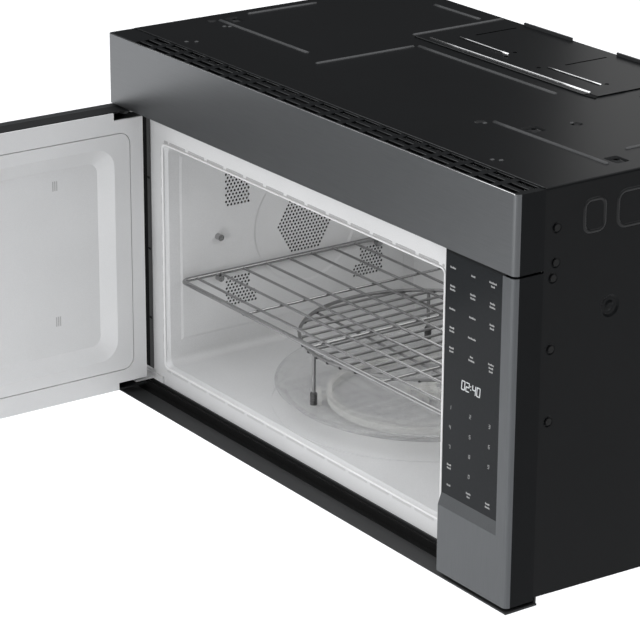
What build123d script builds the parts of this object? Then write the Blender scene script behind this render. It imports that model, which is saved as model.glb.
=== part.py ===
from build123d import *
import math
import os

os.makedirs("parts", exist_ok=True)

# Over-the-range microwave with its door swung open.
# Frame: X to the right seen from the front, Y towards the wall, Z up.
# Origin: on the wall, midway between the sides, level with the underside of the front sill.
# All sizes in millimetres. Places called "setback" are measured back from the front face,
# and places called "inset" from the left side of the cabinet.

# ------------------------------------------------------------------ cabinet
width = 759.0
depth = 423.0
height = 445.7
sheet = 1.0
top_edge_radius = 2.5
wall_plate_thickness = 1.5
wall_plate_inset = 10.0
wall_plate_border = 46.0
wall_hole_radius = 4.5
wall_hole_spacing_x = 406.4
wall_hole_spacing_z = 330.0
wall_hole_edge = 25.35
wall_window_radius = 16.0
top_bolt_radius = 3.2
top_bolt_inset = 30.5
top_bolt_setback = 158.0
hook_width = 30.0
hook_offset = 250.0
hook_z = 26.0
hook_slot_height = 7.0
skirt_front_z = 9.7
pan_sheet = 1.5

left_x = -width / 2
right_x = width / 2
back_y = -wall_plate_thickness
front_y = back_y - depth
pan_top_z = skirt_front_z + pan_sheet

# ------------------------------------------------------------------ fascias
fascia_depth = 36.0
sill_depth = 41.0
sill_sheet = 2.2
sill_ledge = 31.5
sill_step_gap = 1.2
panel_base_z = 6.2
panel_width = 114.3
panel_strip_width = 18.4
bevel_base_z = 81.2
bevel_top_z = 93.9
glass_setback = 4.5
glass_thickness = 3.0
glass_top_gap = 2.6
glass_side_rim = 1.3
glass_tuck = 2.0
housing_wall = 2.0
face_gap = 2.6
trim_height = 83.2
trim_top_gap = 1.1
face_sheet = 1.5
face_corner_radius = 6.0
trim_top_return = 3.0

trim_top_z = height - trim_top_gap
trim_base_z = trim_top_z - trim_height
panel_top_z = trim_base_z - face_gap
panel_left_x = right_x - panel_width
strip_left_x = right_x - panel_strip_width
housing_front_y = front_y + glass_setback + glass_thickness

# louvre slots on the top of the trim
slot_length = 28.0
slot_width = 6.4
slot_pitch_y = 12.0
slot_columns = 19
slot_rows = 3
slot_first_inset = 70.0
slot_last_inset = 22.5
slot_first_setback = 6.9
slot_pitch_x = (width - slot_first_inset - slot_last_inset) / (slot_columns - 1)

# ------------------------------------------------------------------ door
door_side_gap = 2.2
door_base_gap = 5.5
door_thickness = 37.0
door_wall = 3.0
skin_return = 12.0
skin_sheet = 1.5
window_inset_x = 74.0
window_inset_z = 62.0
door_glass_thickness = 3.0
glass_rebate = 8.0
seat_gap = 0.3
choke_ring_x = 18.4
choke_ring_z = 25.6
choke_ring_thickness = 2.6
choke_edge_gap = 1.0
choke_groove = 1.0
panel_corner_radius = 15.0
recess_inset_x = 40.6
recess_inset_z = 42.0
recess_slope = 18.0
recess_depth = 10.0
recess_corner_radius = 24.0
hinge_inset = 12.0
hinge_pin_radius = 3.5
hinge_clearance = 0.06
hinge_notch_x = 40.0
hinge_notch_z = 10.0
hinge_notch_cap = 2.0
hinge_pin_length = 11.0
hinge_plate = 2.5
hinge_eye_radius = 8.0
hinge_strap_left = 9.0
hinge_strap_right = 30.0
hinge_foot_right = 48.0
hinge_block = 26.0
open_angle = 90.0

door_base_z = panel_base_z + door_base_gap
sill_step_z = door_base_z - sill_step_gap
door_top_z = panel_top_z
door_right_x = panel_left_x - door_side_gap
hinge_x = left_x + hinge_inset
hinge_y = front_y + hinge_inset
door_inner_y = front_y + door_thickness
door_centre_x = (left_x + door_right_x) / 2
door_centre_z = (door_base_z + door_top_z) / 2
door_width = door_right_x - left_x
door_height = door_top_z - door_base_z

# handle on the outer face near the free side
handle_inset = 44.0
handle_length = 236.0
handle_width = 19.0
handle_thickness = 14.0
handle_standoff = 30.0
handle_post_radius = 6.0
handle_post_inset = 26.0

# latch head with two hooks, sliding up and down inside the free side of the door
latch_inset = 12.0
latch_thickness = 5.0
latch_bar_length = 184.0
latch_bar_y = 20.0
latch_hook_reach = 19.0
latch_hook_height = 16.0
latch_hook_spacing = 160.0
latch_barb = 4.0
latch_travel = 4.0
latch_slot_clearance = 2.0
spring_radius = 4.5
spring_bore = 3.0
spring_length = 24.0

# ------------------------------------------------------------------ oven cavity
flange_setback = 41.0
flange_flare_depth = 6.0
flange_flare = 3.0
convection_bay = 54.0
electrical_bay = 165.0
vent_space = 132.5
cavity_back_gap = 11.0
cavity_floor_z = 37.2
cavity_bend_radius = 10.0

flange_y = front_y + flange_setback
cavity_mouth_y = flange_y + flange_flare_depth
cavity_back_y = back_y - cavity_back_gap
cavity_left_x = left_x + convection_bay
cavity_right_x = right_x - electrical_bay
cavity_roof_z = height - vent_space
cavity_width = cavity_right_x - cavity_left_x
cavity_depth = cavity_back_y - cavity_mouth_y
cavity_height = cavity_roof_z - cavity_floor_z
cavity_centre_x = (cavity_left_x + cavity_right_x) / 2
cavity_centre_y = (cavity_mouth_y + cavity_back_y) / 2
cavity_centre_z = (cavity_floor_z + cavity_roof_z) / 2

# perforated areas of the left wall: one six-sided field at the fan, four at its corners
fan_behind_centre = 14.5
fan_above_centre = 7.0
field_half_width = 43.0
field_flat_half = 20.0
field_half_height = 35.0
corner_field_inner = 66.0
corner_field_outer = 118.0
corner_field_low = 34.0
corner_field_high = 84.0
corner_field_cut = 20.0
hole_radius = 3.0
hole_pitch = 12.0

fan_y = cavity_centre_y + fan_behind_centre
fan_z = cavity_centre_z + fan_above_centre

# ------------------------------------------------------------------ turntable
tray_wall_gap = 4.5
tray_thickness = 5.0
tray_rim_height = 6.0
tray_rim_width = 4.0
tray_rim_slope = 9.0
tray_skirt = 11.0
tray_edge_height = 2.0
tray_lug_width = 3.0
tray_lug_depth = 5.0
roller_radius = 9.0
roller_width = 8.0
roller_track_radius = 128.0
roller_pin_radius = 2.0
roller_clearance = 0.06
roller_lift = 0.05
roller_side_gap = 0.4
roller_count = 3
hoop_radius = 114.0
hoop_width = 6.0
hoop_height = 8.0
pin_tail = 3.0
floor_groove_gap = 3.0
floor_groove_width = 2.0
floor_groove_depth = 0.5
coupler_shank_radius = 3.0
coupler_clearance = 0.06
coupler_hub_radius = 12.0
coupler_arm_length = 24.0
coupler_arm_width = 9.0
coupler_height = 9.0
coupler_gap = 0.3
floor_hole_radius = 8.0
motor_radius = 26.0
motor_height = 17.0

turntable_x = cavity_centre_x
turntable_y = cavity_centre_y
tray_radius = cavity_depth / 2 - tray_wall_gap
floor_groove_radius = tray_radius + floor_groove_gap
roller_axis_z = cavity_floor_z + roller_radius + roller_lift
tray_base_z = roller_axis_z + roller_radius + roller_lift
tray_top_z = tray_base_z + tray_thickness

# ------------------------------------------------------------------ racks
rack_level = 106.0
rack_frame_wire = 2.8
rack_thin_wire = 1.6
rack_side_gap = 6.0
rack_front_gap = 13.0
rack_back_gap = 15.0
rack_corner_radius = 9.0
rack_wire_count = 10
rack_first_wire = 20.7
rack_last_wire = 16.6
rack_weld = 0.3
stud_radius = 4.0
stud_length = 9.0
stud_front_inset = 68.0
stud_rear_inset = 305.0
stud_upper_step = 52.0
stud_gap = 0.3
round_rack_radius = 149.0
round_rack_wire = 2.2
round_rack_bar_wire = 1.6
round_rack_bar_pitch = 20.6
round_rack_bar_count = 14
round_rack_cross_offset = 62.0
round_rack_height = 62.0
round_rack_foot_radius = 3.6
round_rack_foot_height = 15.0
round_rack_facets = 12
round_rack_leg_angles = (-97.5, 22.5, 142.5)

rack_z = cavity_floor_z + rack_level
rack_left_x = cavity_left_x + rack_side_gap
rack_right_x = cavity_right_x - rack_side_gap
rack_front_y = cavity_mouth_y + rack_front_gap
rack_back_y = cavity_back_y - rack_back_gap
rack_wire_pitch = (rack_back_y - rack_front_y - rack_first_wire - rack_last_wire) / (rack_wire_count - 1)
rack_cross_pitch = (rack_right_x - rack_left_x) / 4
round_rack_z = tray_top_z + round_rack_height

# ------------------------------------------------------------------ convection unit on the left wall
convection_roof_gap = 7.0
convection_depth = 26.0
convection_fan_depth = 13.0
convection_fan_gap = 7.0
convection_blades = 10
convection_blade_length = 40.0
convection_blade_thickness = 1.6
convection_blade_turn = 24.0
convection_hub_radius = 9.0
convection_shaft_radius = 3.0
convection_shaft_hole = 5.0
heater_wall_gap = 34.0
heater_fan_gap = 18.0
heater_rod_radius = 3.3
convection_motor_radius = 28.0
convection_motor_gap = 4.0
shaft_clearance = 0.05

convection_half = cavity_roof_z - fan_z - convection_roof_gap
heater_ring_radius = convection_half - heater_wall_gap
convection_fan_radius = heater_ring_radius - heater_fan_gap
convection_motor_length = convection_bay - 2 * sheet - convection_depth - convection_motor_gap

# ------------------------------------------------------------------ vent blower above the oven
blower_back_gap = 73.0
blower_rise = 64.0
blower_wheel_radius = 50.0
blower_wheel_bore = 41.0
blower_wheel_length = 78.0
blower_blades = 24
blower_blade_thickness = 1.2
blower_shaft_radius = 4.0
blower_motor_radius = 40.0
blower_motor_length = 72.0
blower_end_gap = 6.0
blower_duct_gap = 11.0
blower_foot_half = 14.0
blower_shaft_hole = 6.0
blower_housing_wall = 1.2
blower_inlet_radius = 38.0
blower_y = back_y - blower_back_gap
blower_z = cavity_roof_z + sheet + blower_rise

# exhaust cover plate above the blower
exhaust_half_width = 158.5
exhaust_front_reach = 142.0
exhaust_back_gap = 4.0
exhaust_sheet = 1.2
exhaust_front_y = back_y - exhaust_front_reach
exhaust_back_y = back_y - exhaust_back_gap

# ------------------------------------------------------------------ electrical bay right of the oven
bay_left_x = cavity_right_x + sheet
guide_width = 24.0
guide_length = 96.0
guide_height = 84.0
guide_roof_gap = 63.2
guide_setback = 214.0
guide_z = cavity_roof_z - guide_roof_gap
magnetron_width = 84.0
magnetron_depth = 76.0
magnetron_height = 62.0
magnetron_fins = 5
fin_thickness = 1.0
tube_radius = 21.0
core_width = 96.0
core_depth = 58.0
core_height = 84.0
coil_overhang = 14.0
transformer_inset = 76.0
transformer_setback = 300.0
capacitor_width = 52.0
capacitor_depth = 34.0
capacitor_height = 92.0
capacitor_inset = 40.0
capacitor_setback = 150.0
cooling_radius = 54.0
cooling_depth = 20.0
cooling_blades = 5
cooling_roof_gap = 67.2
cooling_inset = 74.0
cooling_back_gap = 71.0
cooling_ring_gap = 3.0
cooling_motor_radius = 26.0
cooling_motor_length = 32.0
cooling_shaft_radius = 2.5

# ------------------------------------------------------------------ underside
filter_length = 190.0
filter_width = 118.0
filter_thickness = 8.0
filter_frame = 8.0
filter_mesh = 4.0
filter_gap = 0.3
filter_edge_inset = 165.5
filter_setback = 150.0
filter_offset = width / 2 - filter_edge_inset
lamp_length = 74.0
lamp_width = 46.0
lamp_offset = 60.0
lamp_setback = 92.0
lens_thickness = 3.0
lamp_housing_height = 18.0


def standing(y):
    """Sketch plane across the cabinet at depth y, with X to the right and Z up."""
    return Plane.XZ.offset(-y)


def sideways(x):
    """Sketch plane along the cabinet at x, with Y to the right and Z up."""
    return Plane.YZ.offset(x)


def level(z):
    """Horizontal sketch plane at height z."""
    return Plane.XY.offset(z)


def block(x0, x1, y0, y1, z0, z1, mode=Mode.ADD):
    """Box between two corners, added to the part under way."""
    with Locations(((x0 + x1) / 2, (y0 + y1) / 2, (z0 + z1) / 2)):
        Box(x1 - x0, y1 - y0, z1 - z0, mode=mode)


def panel(x0, x1, z0, z1, y0, y1, radius, mode=Mode.ADD):
    """Upright slab from y0 to y1 with rounded corners in X and Z."""
    with BuildSketch(standing(y0)) as outline:
        with Locations(((x0 + x1) / 2, (z0 + z1) / 2)):
            RectangleRounded(x1 - x0, z1 - z0, radius)
    extrude(outline.sketch, amount=y0 - y1, mode=mode)


def rod_x(x0, x1, y, z, radius, mode=Mode.ADD):
    """Round rod along X."""
    with BuildSketch(sideways(x0)) as section:
        with Locations((y, z)):
            Circle(radius)
    extrude(section.sketch, amount=x1 - x0, mode=mode)


def rod_y(x, y0, y1, z, radius, mode=Mode.ADD):
    """Round rod along Y."""
    with BuildSketch(standing(y0)) as section:
        with Locations((x, z)):
            Circle(radius)
    extrude(section.sketch, amount=y0 - y1, mode=mode)


def rod_z(x, y, z0, z1, radius, mode=Mode.ADD):
    """Round rod along Z."""
    with BuildSketch(level(z0)) as section:
        with Locations((x, y)):
            Circle(radius)
    extrude(section.sketch, amount=z1 - z0, mode=mode)


def swung(part):
    """A door piece turned from shut to open about the hinge pins."""
    return part.rotate(Axis((hinge_x, hinge_y, 0), (0, 0, 1)), -open_angle)


pieces = {}

# ================================================================== cabinet shell
bead_width = 7.0
bead_depth = 0.8
dimple_radius = 5.0
emboss_line = 3.0

# beads pressed into the top: inset and setback of both ends
top_beads = (
    ((37, 153.8), (165, 140)),
    ((215, 150), (215, 272)),
    ((22, 189), (22, 263)),
    ((width / 2 - 123.5, 260.7), (width / 2 + 123.5, 260.7)),
    ((width - 212, 138.5), (width - 59, 138.5)),
    ((width - 59, 189), (width - 59, 263)),
    ((width - 195, depth - 101), (width - 195, depth - 27)),
    ((195, depth - 101), (195, depth - 27)),
)
top_dimples = (
    (87, 46), (24, 125), (width - 102, 55), (width - 163, 201), (width - 214, 120), (width - 87, 330),
)

# frames pressed into each side: setback, drop below the top, length, height and corner radius
side_frames = (
    (99, 41.9, 28, 36, 8),
    (190, 41.9, 116, 40, 12),
    (depth - 93, 41.9, 116, 40, 12),
)
side_boss_setback = 123.6
side_boss_drop = 138.1
side_boss_radius = 11.0
exhaust_rim = 24.0
exhaust_back_rim = 10.0


def press_top_bead(start, end):
    """Bead pressed down into the cabinet's top, keeping the sheet's thickness."""
    (x0, y0), (x1, y1) = start, end
    length = math.hypot(x1 - x0, y1 - y0)
    turn = math.degrees(math.atan2(y1 - y0, x1 - x0))
    place = (left_x + (x0 + x1) / 2, front_y + (y0 + y1) / 2)
    with BuildSketch(level(height - sheet - bead_depth)) as under:
        with Locations(place):
            SlotOverall(length + 2 * sheet, bead_width + 2 * sheet, rotation=turn)
    extrude(under.sketch, amount=bead_depth)
    with BuildSketch(level(height - bead_depth)) as over:
        with Locations(place):
            SlotOverall(length, bead_width, rotation=turn)
    extrude(over.sketch, amount=bead_depth, mode=Mode.SUBTRACT)


def press_side_frame(x, setback, drop, frame_length, frame_height, radius):
    """Rounded frame line pressed into the cabinet's side at x."""
    into = bead_depth / 2
    outer = x if x > 0 else x + into
    with BuildSketch(sideways(outer - into)) as line:
        with Locations((front_y + setback, height - drop)):
            RectangleRounded(frame_length, frame_height, radius)
            RectangleRounded(frame_length - 2 * emboss_line, frame_height - 2 * emboss_line,
                             radius - emboss_line, mode=Mode.SUBTRACT)
    extrude(line.sketch, amount=into, mode=Mode.SUBTRACT)


with BuildPart() as cabinet_wrap:
    wrap_front_y = front_y + fascia_depth
    with BuildSketch(standing(wrap_front_y)) as wrap_profile:
        with BuildLine():
            Polyline(
                (left_x, 0), (left_x, height), (right_x, height), (right_x, 0),
                (right_x - sheet, 0), (right_x - sheet, height - sheet),
                (left_x + sheet, height - sheet), (left_x + sheet, 0), close=True,
            )
        make_face()
        outer_corners = wrap_profile.vertices().group_by(Axis.Y)[-1]
        fillet(outer_corners, top_edge_radius)
    extrude(amount=wrap_front_y - back_y)
    with BuildSketch(sideways(left_x)):
        with BuildLine():
            Polyline(
                (wrap_front_y, 0), (back_y, 0), (wrap_front_y + sill_depth - fascia_depth, skirt_front_z),
                (wrap_front_y, skirt_front_z), close=True,
            )
        make_face()
    extrude(amount=width, mode=Mode.SUBTRACT)
    for bead_start, bead_end in top_beads:
        press_top_bead(bead_start, bead_end)
    for dimple_inset, dimple_setback in top_dimples:
        with Locations((left_x + dimple_inset, front_y + dimple_setback, height)):
            Cylinder(dimple_radius, bead_depth, mode=Mode.SUBTRACT)
    for side in (-1, 1):
        rod_z(side * (width / 2 - top_bolt_inset), front_y + top_bolt_setback,
              height - 2 * sheet, height + sheet, top_bolt_radius, mode=Mode.SUBTRACT)
        for frame in side_frames:
            press_side_frame(side * width / 2, *frame)
        x0, x1 = sorted((side * width / 2, side * (width / 2 - bead_depth / 2)))
        rod_x(x0, x1, front_y + side_boss_setback, height - side_boss_drop, side_boss_radius,
              mode=Mode.SUBTRACT)
    block(-exhaust_half_width + exhaust_rim, exhaust_half_width - exhaust_rim,
          exhaust_front_y + exhaust_rim, exhaust_back_y - exhaust_back_rim,
          height - 2 * sheet, height + sheet, mode=Mode.SUBTRACT)
pieces["cabinet_wrap"] = cabinet_wrap

with BuildPart() as back_plate:
    block(left_x + sheet, right_x - sheet, back_y - sheet, back_y, pan_top_z, height - sheet)
    for side in (-1, 1):
        block(side * hook_offset - hook_width / 2, side * hook_offset + hook_width / 2,
              back_y - 2 * sheet, back_y + sheet, hook_z, hook_z + hook_slot_height, mode=Mode.SUBTRACT)
pieces["back_plate"] = back_plate

hook_thickness = 2.0
hook_reach = 14.0
hook_side_gap = 2.0
wall_plate_centre_z = (height - wall_plate_inset) / 2
with BuildPart() as wall_plate:
    block(left_x + wall_plate_inset, right_x - wall_plate_inset, back_y, 0, 0, height - wall_plate_inset)
    for side in (-1, 1):
        block(side * hook_offset - hook_width / 2 + hook_side_gap,
              side * hook_offset + hook_width / 2 - hook_side_gap,
              back_y - hook_reach, back_y,
              hook_z + hook_slot_height - hook_thickness, hook_z + hook_slot_height)
        window_width = width / 2 - wall_plate_inset - 1.5 * wall_plate_border
        window_height = wall_hole_spacing_z - 2 * wall_hole_edge
        with BuildSketch(standing(back_y)):
            with Locations((side * (window_width + wall_plate_border) / 2, wall_plate_centre_z)):
                RectangleRounded(window_width, window_height, wall_window_radius)
        extrude(amount=-wall_plate_thickness, mode=Mode.SUBTRACT)
    with BuildSketch(standing(back_y)):
        with Locations((0, wall_plate_centre_z)):
            with GridLocations(wall_hole_spacing_x, wall_hole_spacing_z, 2, 2):
                Circle(wall_hole_radius)
    extrude(amount=-wall_plate_thickness, mode=Mode.SUBTRACT)
pieces["wall_plate"] = wall_plate

# ================================================================== underside
pan_front_y = front_y + sill_depth
pan_flange = 11.0
with BuildPart() as base_pan:
    block(left_x + sheet, right_x - sheet, pan_front_y, back_y - sheet, skirt_front_z, pan_top_z)
    for side in (-1, 1):
        inner = side * (width / 2 - sheet - pan_sheet)
        outer = side * (width / 2 - sheet)
        block(min(inner, outer), max(inner, outer), pan_front_y + 2 * sheet, back_y - sheet,
              pan_top_z, pan_top_z + pan_flange)
        filter_x = side * filter_offset
        filter_y = front_y + filter_setback
        opening_x = filter_length / 2 + filter_gap
        opening_y = filter_width / 2 + filter_gap
        block(filter_x - opening_x, filter_x + opening_x, filter_y - opening_y, filter_y + opening_y,
              skirt_front_z - 1, pan_top_z + 1, mode=Mode.SUBTRACT)
        block(side * lamp_offset - lamp_length / 2, side * lamp_offset + lamp_length / 2,
              front_y + lamp_setback - lamp_width / 2, front_y + lamp_setback + lamp_width / 2,
              skirt_front_z - 1, pan_top_z + 1, mode=Mode.SUBTRACT)
pieces["base_pan"] = base_pan

sill_tuck = 0.3
sill_edge = 0.6
with BuildPart() as front_sill:
    block(left_x, right_x, front_y, front_y + sill_depth, 0, sill_sheet)
    block(left_x, panel_left_x - sill_tuck, front_y + sill_ledge, front_y + sill_ledge + sill_sheet,
          sill_sheet, sill_step_z)
    block(left_x + sheet + sill_tuck, right_x - sheet - sill_tuck,
          front_y + sill_depth - sill_sheet, front_y + sill_depth, sill_sheet, pan_top_z)
    front_edge = front_sill.edges().filter_by(Axis.X).group_by(Axis.Y)[0]
    chamfer(front_edge, sill_edge)
pieces["front_sill"] = front_sill


filter_tab_width = 26.0
filter_tab_depth = 12.0


def grease_filter(side):
    """Aluminium filter: a channel frame round a mesh pad, with a pull tab at its front."""
    x = side * filter_offset
    y = front_y + filter_setback
    half_length = filter_length / 2
    half_width = filter_width / 2
    step = (filter_thickness - filter_mesh) / 2
    top_z = skirt_front_z + filter_thickness
    with BuildPart() as grease:
        block(x - half_length, x + half_length, y - half_width, y + half_width, skirt_front_z, top_z)
        for z0, z1 in ((skirt_front_z, skirt_front_z + step), (top_z - step, top_z)):
            block(x - half_length + filter_frame, x + half_length - filter_frame,
                  y - half_width + filter_frame, y + half_width - filter_frame, z0, z1, mode=Mode.SUBTRACT)
        with BuildSketch(level(skirt_front_z)):
            with Locations((x, y - half_width + filter_frame)):
                SlotOverall(filter_tab_width, filter_tab_depth)
        extrude(amount=step)
    return grease


pieces["grease_filter_left"] = grease_filter(-1)
pieces["grease_filter_right"] = grease_filter(1)

lens_rim = 4.0
with BuildPart() as lamp_lenses:
    for side in (-1, 1):
        x = side * lamp_offset
        y = front_y + lamp_setback
        block(x - lamp_length / 2 + filter_gap, x + lamp_length / 2 - filter_gap,
              y - lamp_width / 2 + filter_gap, y + lamp_width / 2 - filter_gap,
              skirt_front_z, pan_top_z)
        block(x - lamp_length / 2 - lens_rim, x + lamp_length / 2 + lens_rim,
              y - lamp_width / 2 - lens_rim, y + lamp_width / 2 + lens_rim,
              pan_top_z, pan_top_z + lens_thickness)
pieces["lamp_lenses"] = lamp_lenses

bulb_radius = 9.0
bulb_gap = 4.0
lamp_wall = 2.0
with BuildPart() as cooktop_lamps:
    for side in (-1, 1):
        x = side * lamp_offset
        y = front_y + lamp_setback
        half_length = lamp_length / 2
        half_width = lamp_width / 2
        seat_z = pan_top_z + lens_thickness
        lid_z = seat_z + lamp_housing_height
        block(x - half_length, x + half_length, y - half_width, y + half_width, seat_z, lid_z)
        block(x - half_length + lamp_wall, x + half_length - lamp_wall,
              y - half_width + lamp_wall, y + half_width - lamp_wall,
              seat_z, lid_z - lamp_wall, mode=Mode.SUBTRACT)
        rod_z(x, y, seat_z + bulb_gap, lid_z - lamp_wall, bulb_radius)
pieces["cooktop_lamps"] = cooktop_lamps

# ================================================================== fascias
def bent_face(x0, x1, z0, z1, square_left=False):
    """Front sheet whose ends are bent back round a corner, or left square on the left."""
    start = x0 - 2 * face_corner_radius if square_left else x0
    middle = (start + x1) / 2
    reach = 8 * face_corner_radius
    with BuildSketch(level(z0)) as plan:
        with Locations((middle, front_y + reach / 2)):
            RectangleRounded(x1 - start, reach, face_corner_radius)
            RectangleRounded(x1 - start - 2 * face_sheet, reach - 2 * face_sheet,
                             face_corner_radius - face_sheet, mode=Mode.SUBTRACT)
        with Locations((middle, front_y + face_corner_radius + reach / 2)):
            Rectangle(x1 - start + 2, reach, mode=Mode.SUBTRACT)
        if square_left:
            with Locations(((start + x0) / 2 - 1, front_y)):
                Rectangle(x0 - start + 2, reach, mode=Mode.SUBTRACT)
    extrude(plan.sketch, amount=z1 - z0)


with BuildPart() as trim_face:
    bent_face(left_x, right_x, trim_base_z, trim_top_z)
    block(left_x + face_corner_radius, right_x - face_corner_radius,
          front_y + face_sheet, front_y + trim_top_return, trim_top_z - face_sheet, trim_top_z)
pieces["trim_face"] = trim_face

with BuildPart() as vent_louvre:
    with BuildSketch(level(trim_base_z)) as louvre_plan:
        with BuildLine():
            Polyline(
                (left_x, front_y + fascia_depth), (left_x, front_y + face_corner_radius),
                (left_x + face_sheet, front_y + face_corner_radius),
                (left_x + face_sheet, front_y + face_sheet),
                (right_x - face_sheet, front_y + face_sheet),
                (right_x - face_sheet, front_y + face_corner_radius), (right_x, front_y + face_corner_radius),
                (right_x, front_y + fascia_depth), close=True,
            )
        make_face()
        fillet(louvre_plan.vertices().group_by(Axis.Y)[0], face_corner_radius - face_sheet)
    extrude(amount=trim_height)
    block(left_x + face_sheet + housing_wall, right_x - face_sheet - housing_wall,
          front_y + face_sheet + housing_wall, front_y + fascia_depth + 1,
          trim_base_z + housing_wall, trim_top_z - housing_wall, mode=Mode.SUBTRACT)
    block(left_x + face_corner_radius, right_x - face_corner_radius,
          front_y, front_y + trim_top_return, trim_top_z - face_sheet, trim_top_z, mode=Mode.SUBTRACT)
    with BuildSketch(level(trim_top_z - housing_wall)):
        with Locations((left_x + slot_first_inset + (slot_columns - 1) * slot_pitch_x / 2,
                        front_y + slot_first_setback + (slot_rows - 1) * slot_pitch_y / 2)):
            with GridLocations(slot_pitch_x, slot_pitch_y, slot_columns, slot_rows):
                Rectangle(slot_length, slot_width)
    extrude(amount=housing_wall, mode=Mode.SUBTRACT)
pieces["vent_louvre"] = vent_louvre

with BuildPart() as control_fascia:
    bent_face(panel_left_x, right_x, panel_base_z, panel_top_z, square_left=True)
    block(panel_left_x, panel_left_x + face_sheet, front_y, housing_front_y, panel_base_z, bevel_base_z)
    block(panel_left_x - 1, strip_left_x, front_y - 1, housing_front_y + 1, bevel_base_z, panel_top_z + 1,
          mode=Mode.SUBTRACT)
    with BuildSketch(sideways(panel_left_x)):
        with BuildLine():
            Polyline(
                (front_y, bevel_base_z), (front_y + glass_setback, bevel_top_z),
                (housing_front_y, bevel_top_z), (housing_front_y, bevel_top_z - face_sheet),
                (front_y + glass_setback, bevel_top_z - 2 * face_sheet),
                (front_y + face_sheet, bevel_base_z - 2 * face_sheet),
                (front_y, bevel_base_z - 2 * face_sheet), close=True,
            )
        make_face()
    extrude(amount=strip_left_x - panel_left_x + glass_tuck)
pieces["control_fascia"] = control_fascia

with BuildPart() as touch_glass:
    block(panel_left_x + glass_side_rim, strip_left_x + glass_tuck,
          front_y + glass_setback, housing_front_y, bevel_top_z, panel_top_z - glass_top_gap)
pieces["touch_glass"] = touch_glass

board_inset = 8.0
board_thickness = 1.6
board_standoff = 2.0
board_post_spacing = 180.0
board_post_radius = 2.5
board_front_y = housing_front_y + housing_wall + board_standoff
with BuildPart() as control_housing:
    block(panel_left_x, right_x, housing_front_y, front_y + fascia_depth, panel_base_z, panel_top_z)
    block(panel_left_x + housing_wall, right_x - housing_wall, housing_front_y + housing_wall,
          front_y + fascia_depth + 1, panel_base_z + housing_wall, panel_top_z - housing_wall,
          mode=Mode.SUBTRACT)
    block(right_x - face_sheet, right_x, front_y + face_corner_radius, housing_front_y,
          panel_base_z, panel_top_z)
    block(panel_left_x, panel_left_x + glass_side_rim, front_y + glass_setback, housing_front_y,
          bevel_top_z, panel_top_z)
    block(panel_left_x, strip_left_x, front_y + glass_setback, housing_front_y,
          panel_top_z - glass_top_gap, panel_top_z)
    with BuildSketch(standing(housing_front_y + housing_wall)):
        with Locations(((panel_left_x + right_x) / 2, (bevel_top_z + panel_top_z) / 2)):
            with GridLocations(panel_width - 4 * board_inset, board_post_spacing, 2, 2):
                Circle(board_post_radius)
    extrude(amount=-board_standoff)
pieces["control_housing"] = control_housing

relay_size = 15.0
relay_height = 12.0
relay_rise = 60.0
display_rise = 180.0
display_width = 60.0
display_height = 26.0
with BuildPart() as display_board:
    block(panel_left_x + board_inset, right_x - board_inset, board_front_y, board_front_y + board_thickness,
          bevel_top_z + board_inset, panel_top_z - board_inset)
    with BuildSketch(standing(board_front_y + board_thickness)):
        with Locations(((panel_left_x + right_x) / 2, bevel_top_z + relay_rise)):
            with GridLocations(1.6 * relay_size, 1.6 * relay_size, 3, 2):
                Rectangle(relay_size, relay_size)
        with Locations(((panel_left_x + right_x) / 2, bevel_top_z + display_rise)):
            Rectangle(display_width, display_height)
    extrude(amount=-relay_height)
pieces["display_board"] = display_board

charcoal_half = 170.0
charcoal_setback = 21.0
charcoal_thickness = 12.0
charcoal_frame = 6.0
charcoal_lip = 3.0
with BuildPart() as charcoal_filter:
    charcoal_y = front_y + charcoal_setback
    block(-charcoal_half, charcoal_half, charcoal_y, charcoal_y + charcoal_thickness,
          trim_base_z + housing_wall, trim_top_z - housing_wall)
    for y0 in (charcoal_y, charcoal_y + charcoal_thickness - charcoal_lip):
        block(-charcoal_half + charcoal_frame, charcoal_half - charcoal_frame, y0, y0 + charcoal_lip,
              trim_base_z + housing_wall + charcoal_frame, trim_top_z - housing_wall - charcoal_frame,
              mode=Mode.SUBTRACT)
pieces["charcoal_filter"] = charcoal_filter

# ================================================================== oven
front_return = 20.0
vent_window_side = 39.5
vent_window_base = trim_base_z + 10.6
vent_window_top = trim_top_z - 10.6
wiring_left = panel_left_x + 19.8
wiring_right = right_x - 19.5
wiring_base = 70.0
wiring_top = panel_top_z - 28.8
latch_x = door_right_x - latch_inset
latch_low_z = door_centre_z - latch_hook_spacing / 2
latch_high_z = door_centre_z + latch_hook_spacing / 2
latch_slot_half = latch_thickness / 2 + latch_slot_clearance
barb_z = latch_hook_height / 2


def latch_slots(y0, y1, lower, upper):
    """Openings for both latch hooks through whatever lies between y0 and y1."""
    for z in (latch_low_z, latch_high_z):
        block(latch_x - latch_slot_half, latch_x + latch_slot_half, y0, y1, z - lower, z + upper,
              mode=Mode.SUBTRACT)


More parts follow.
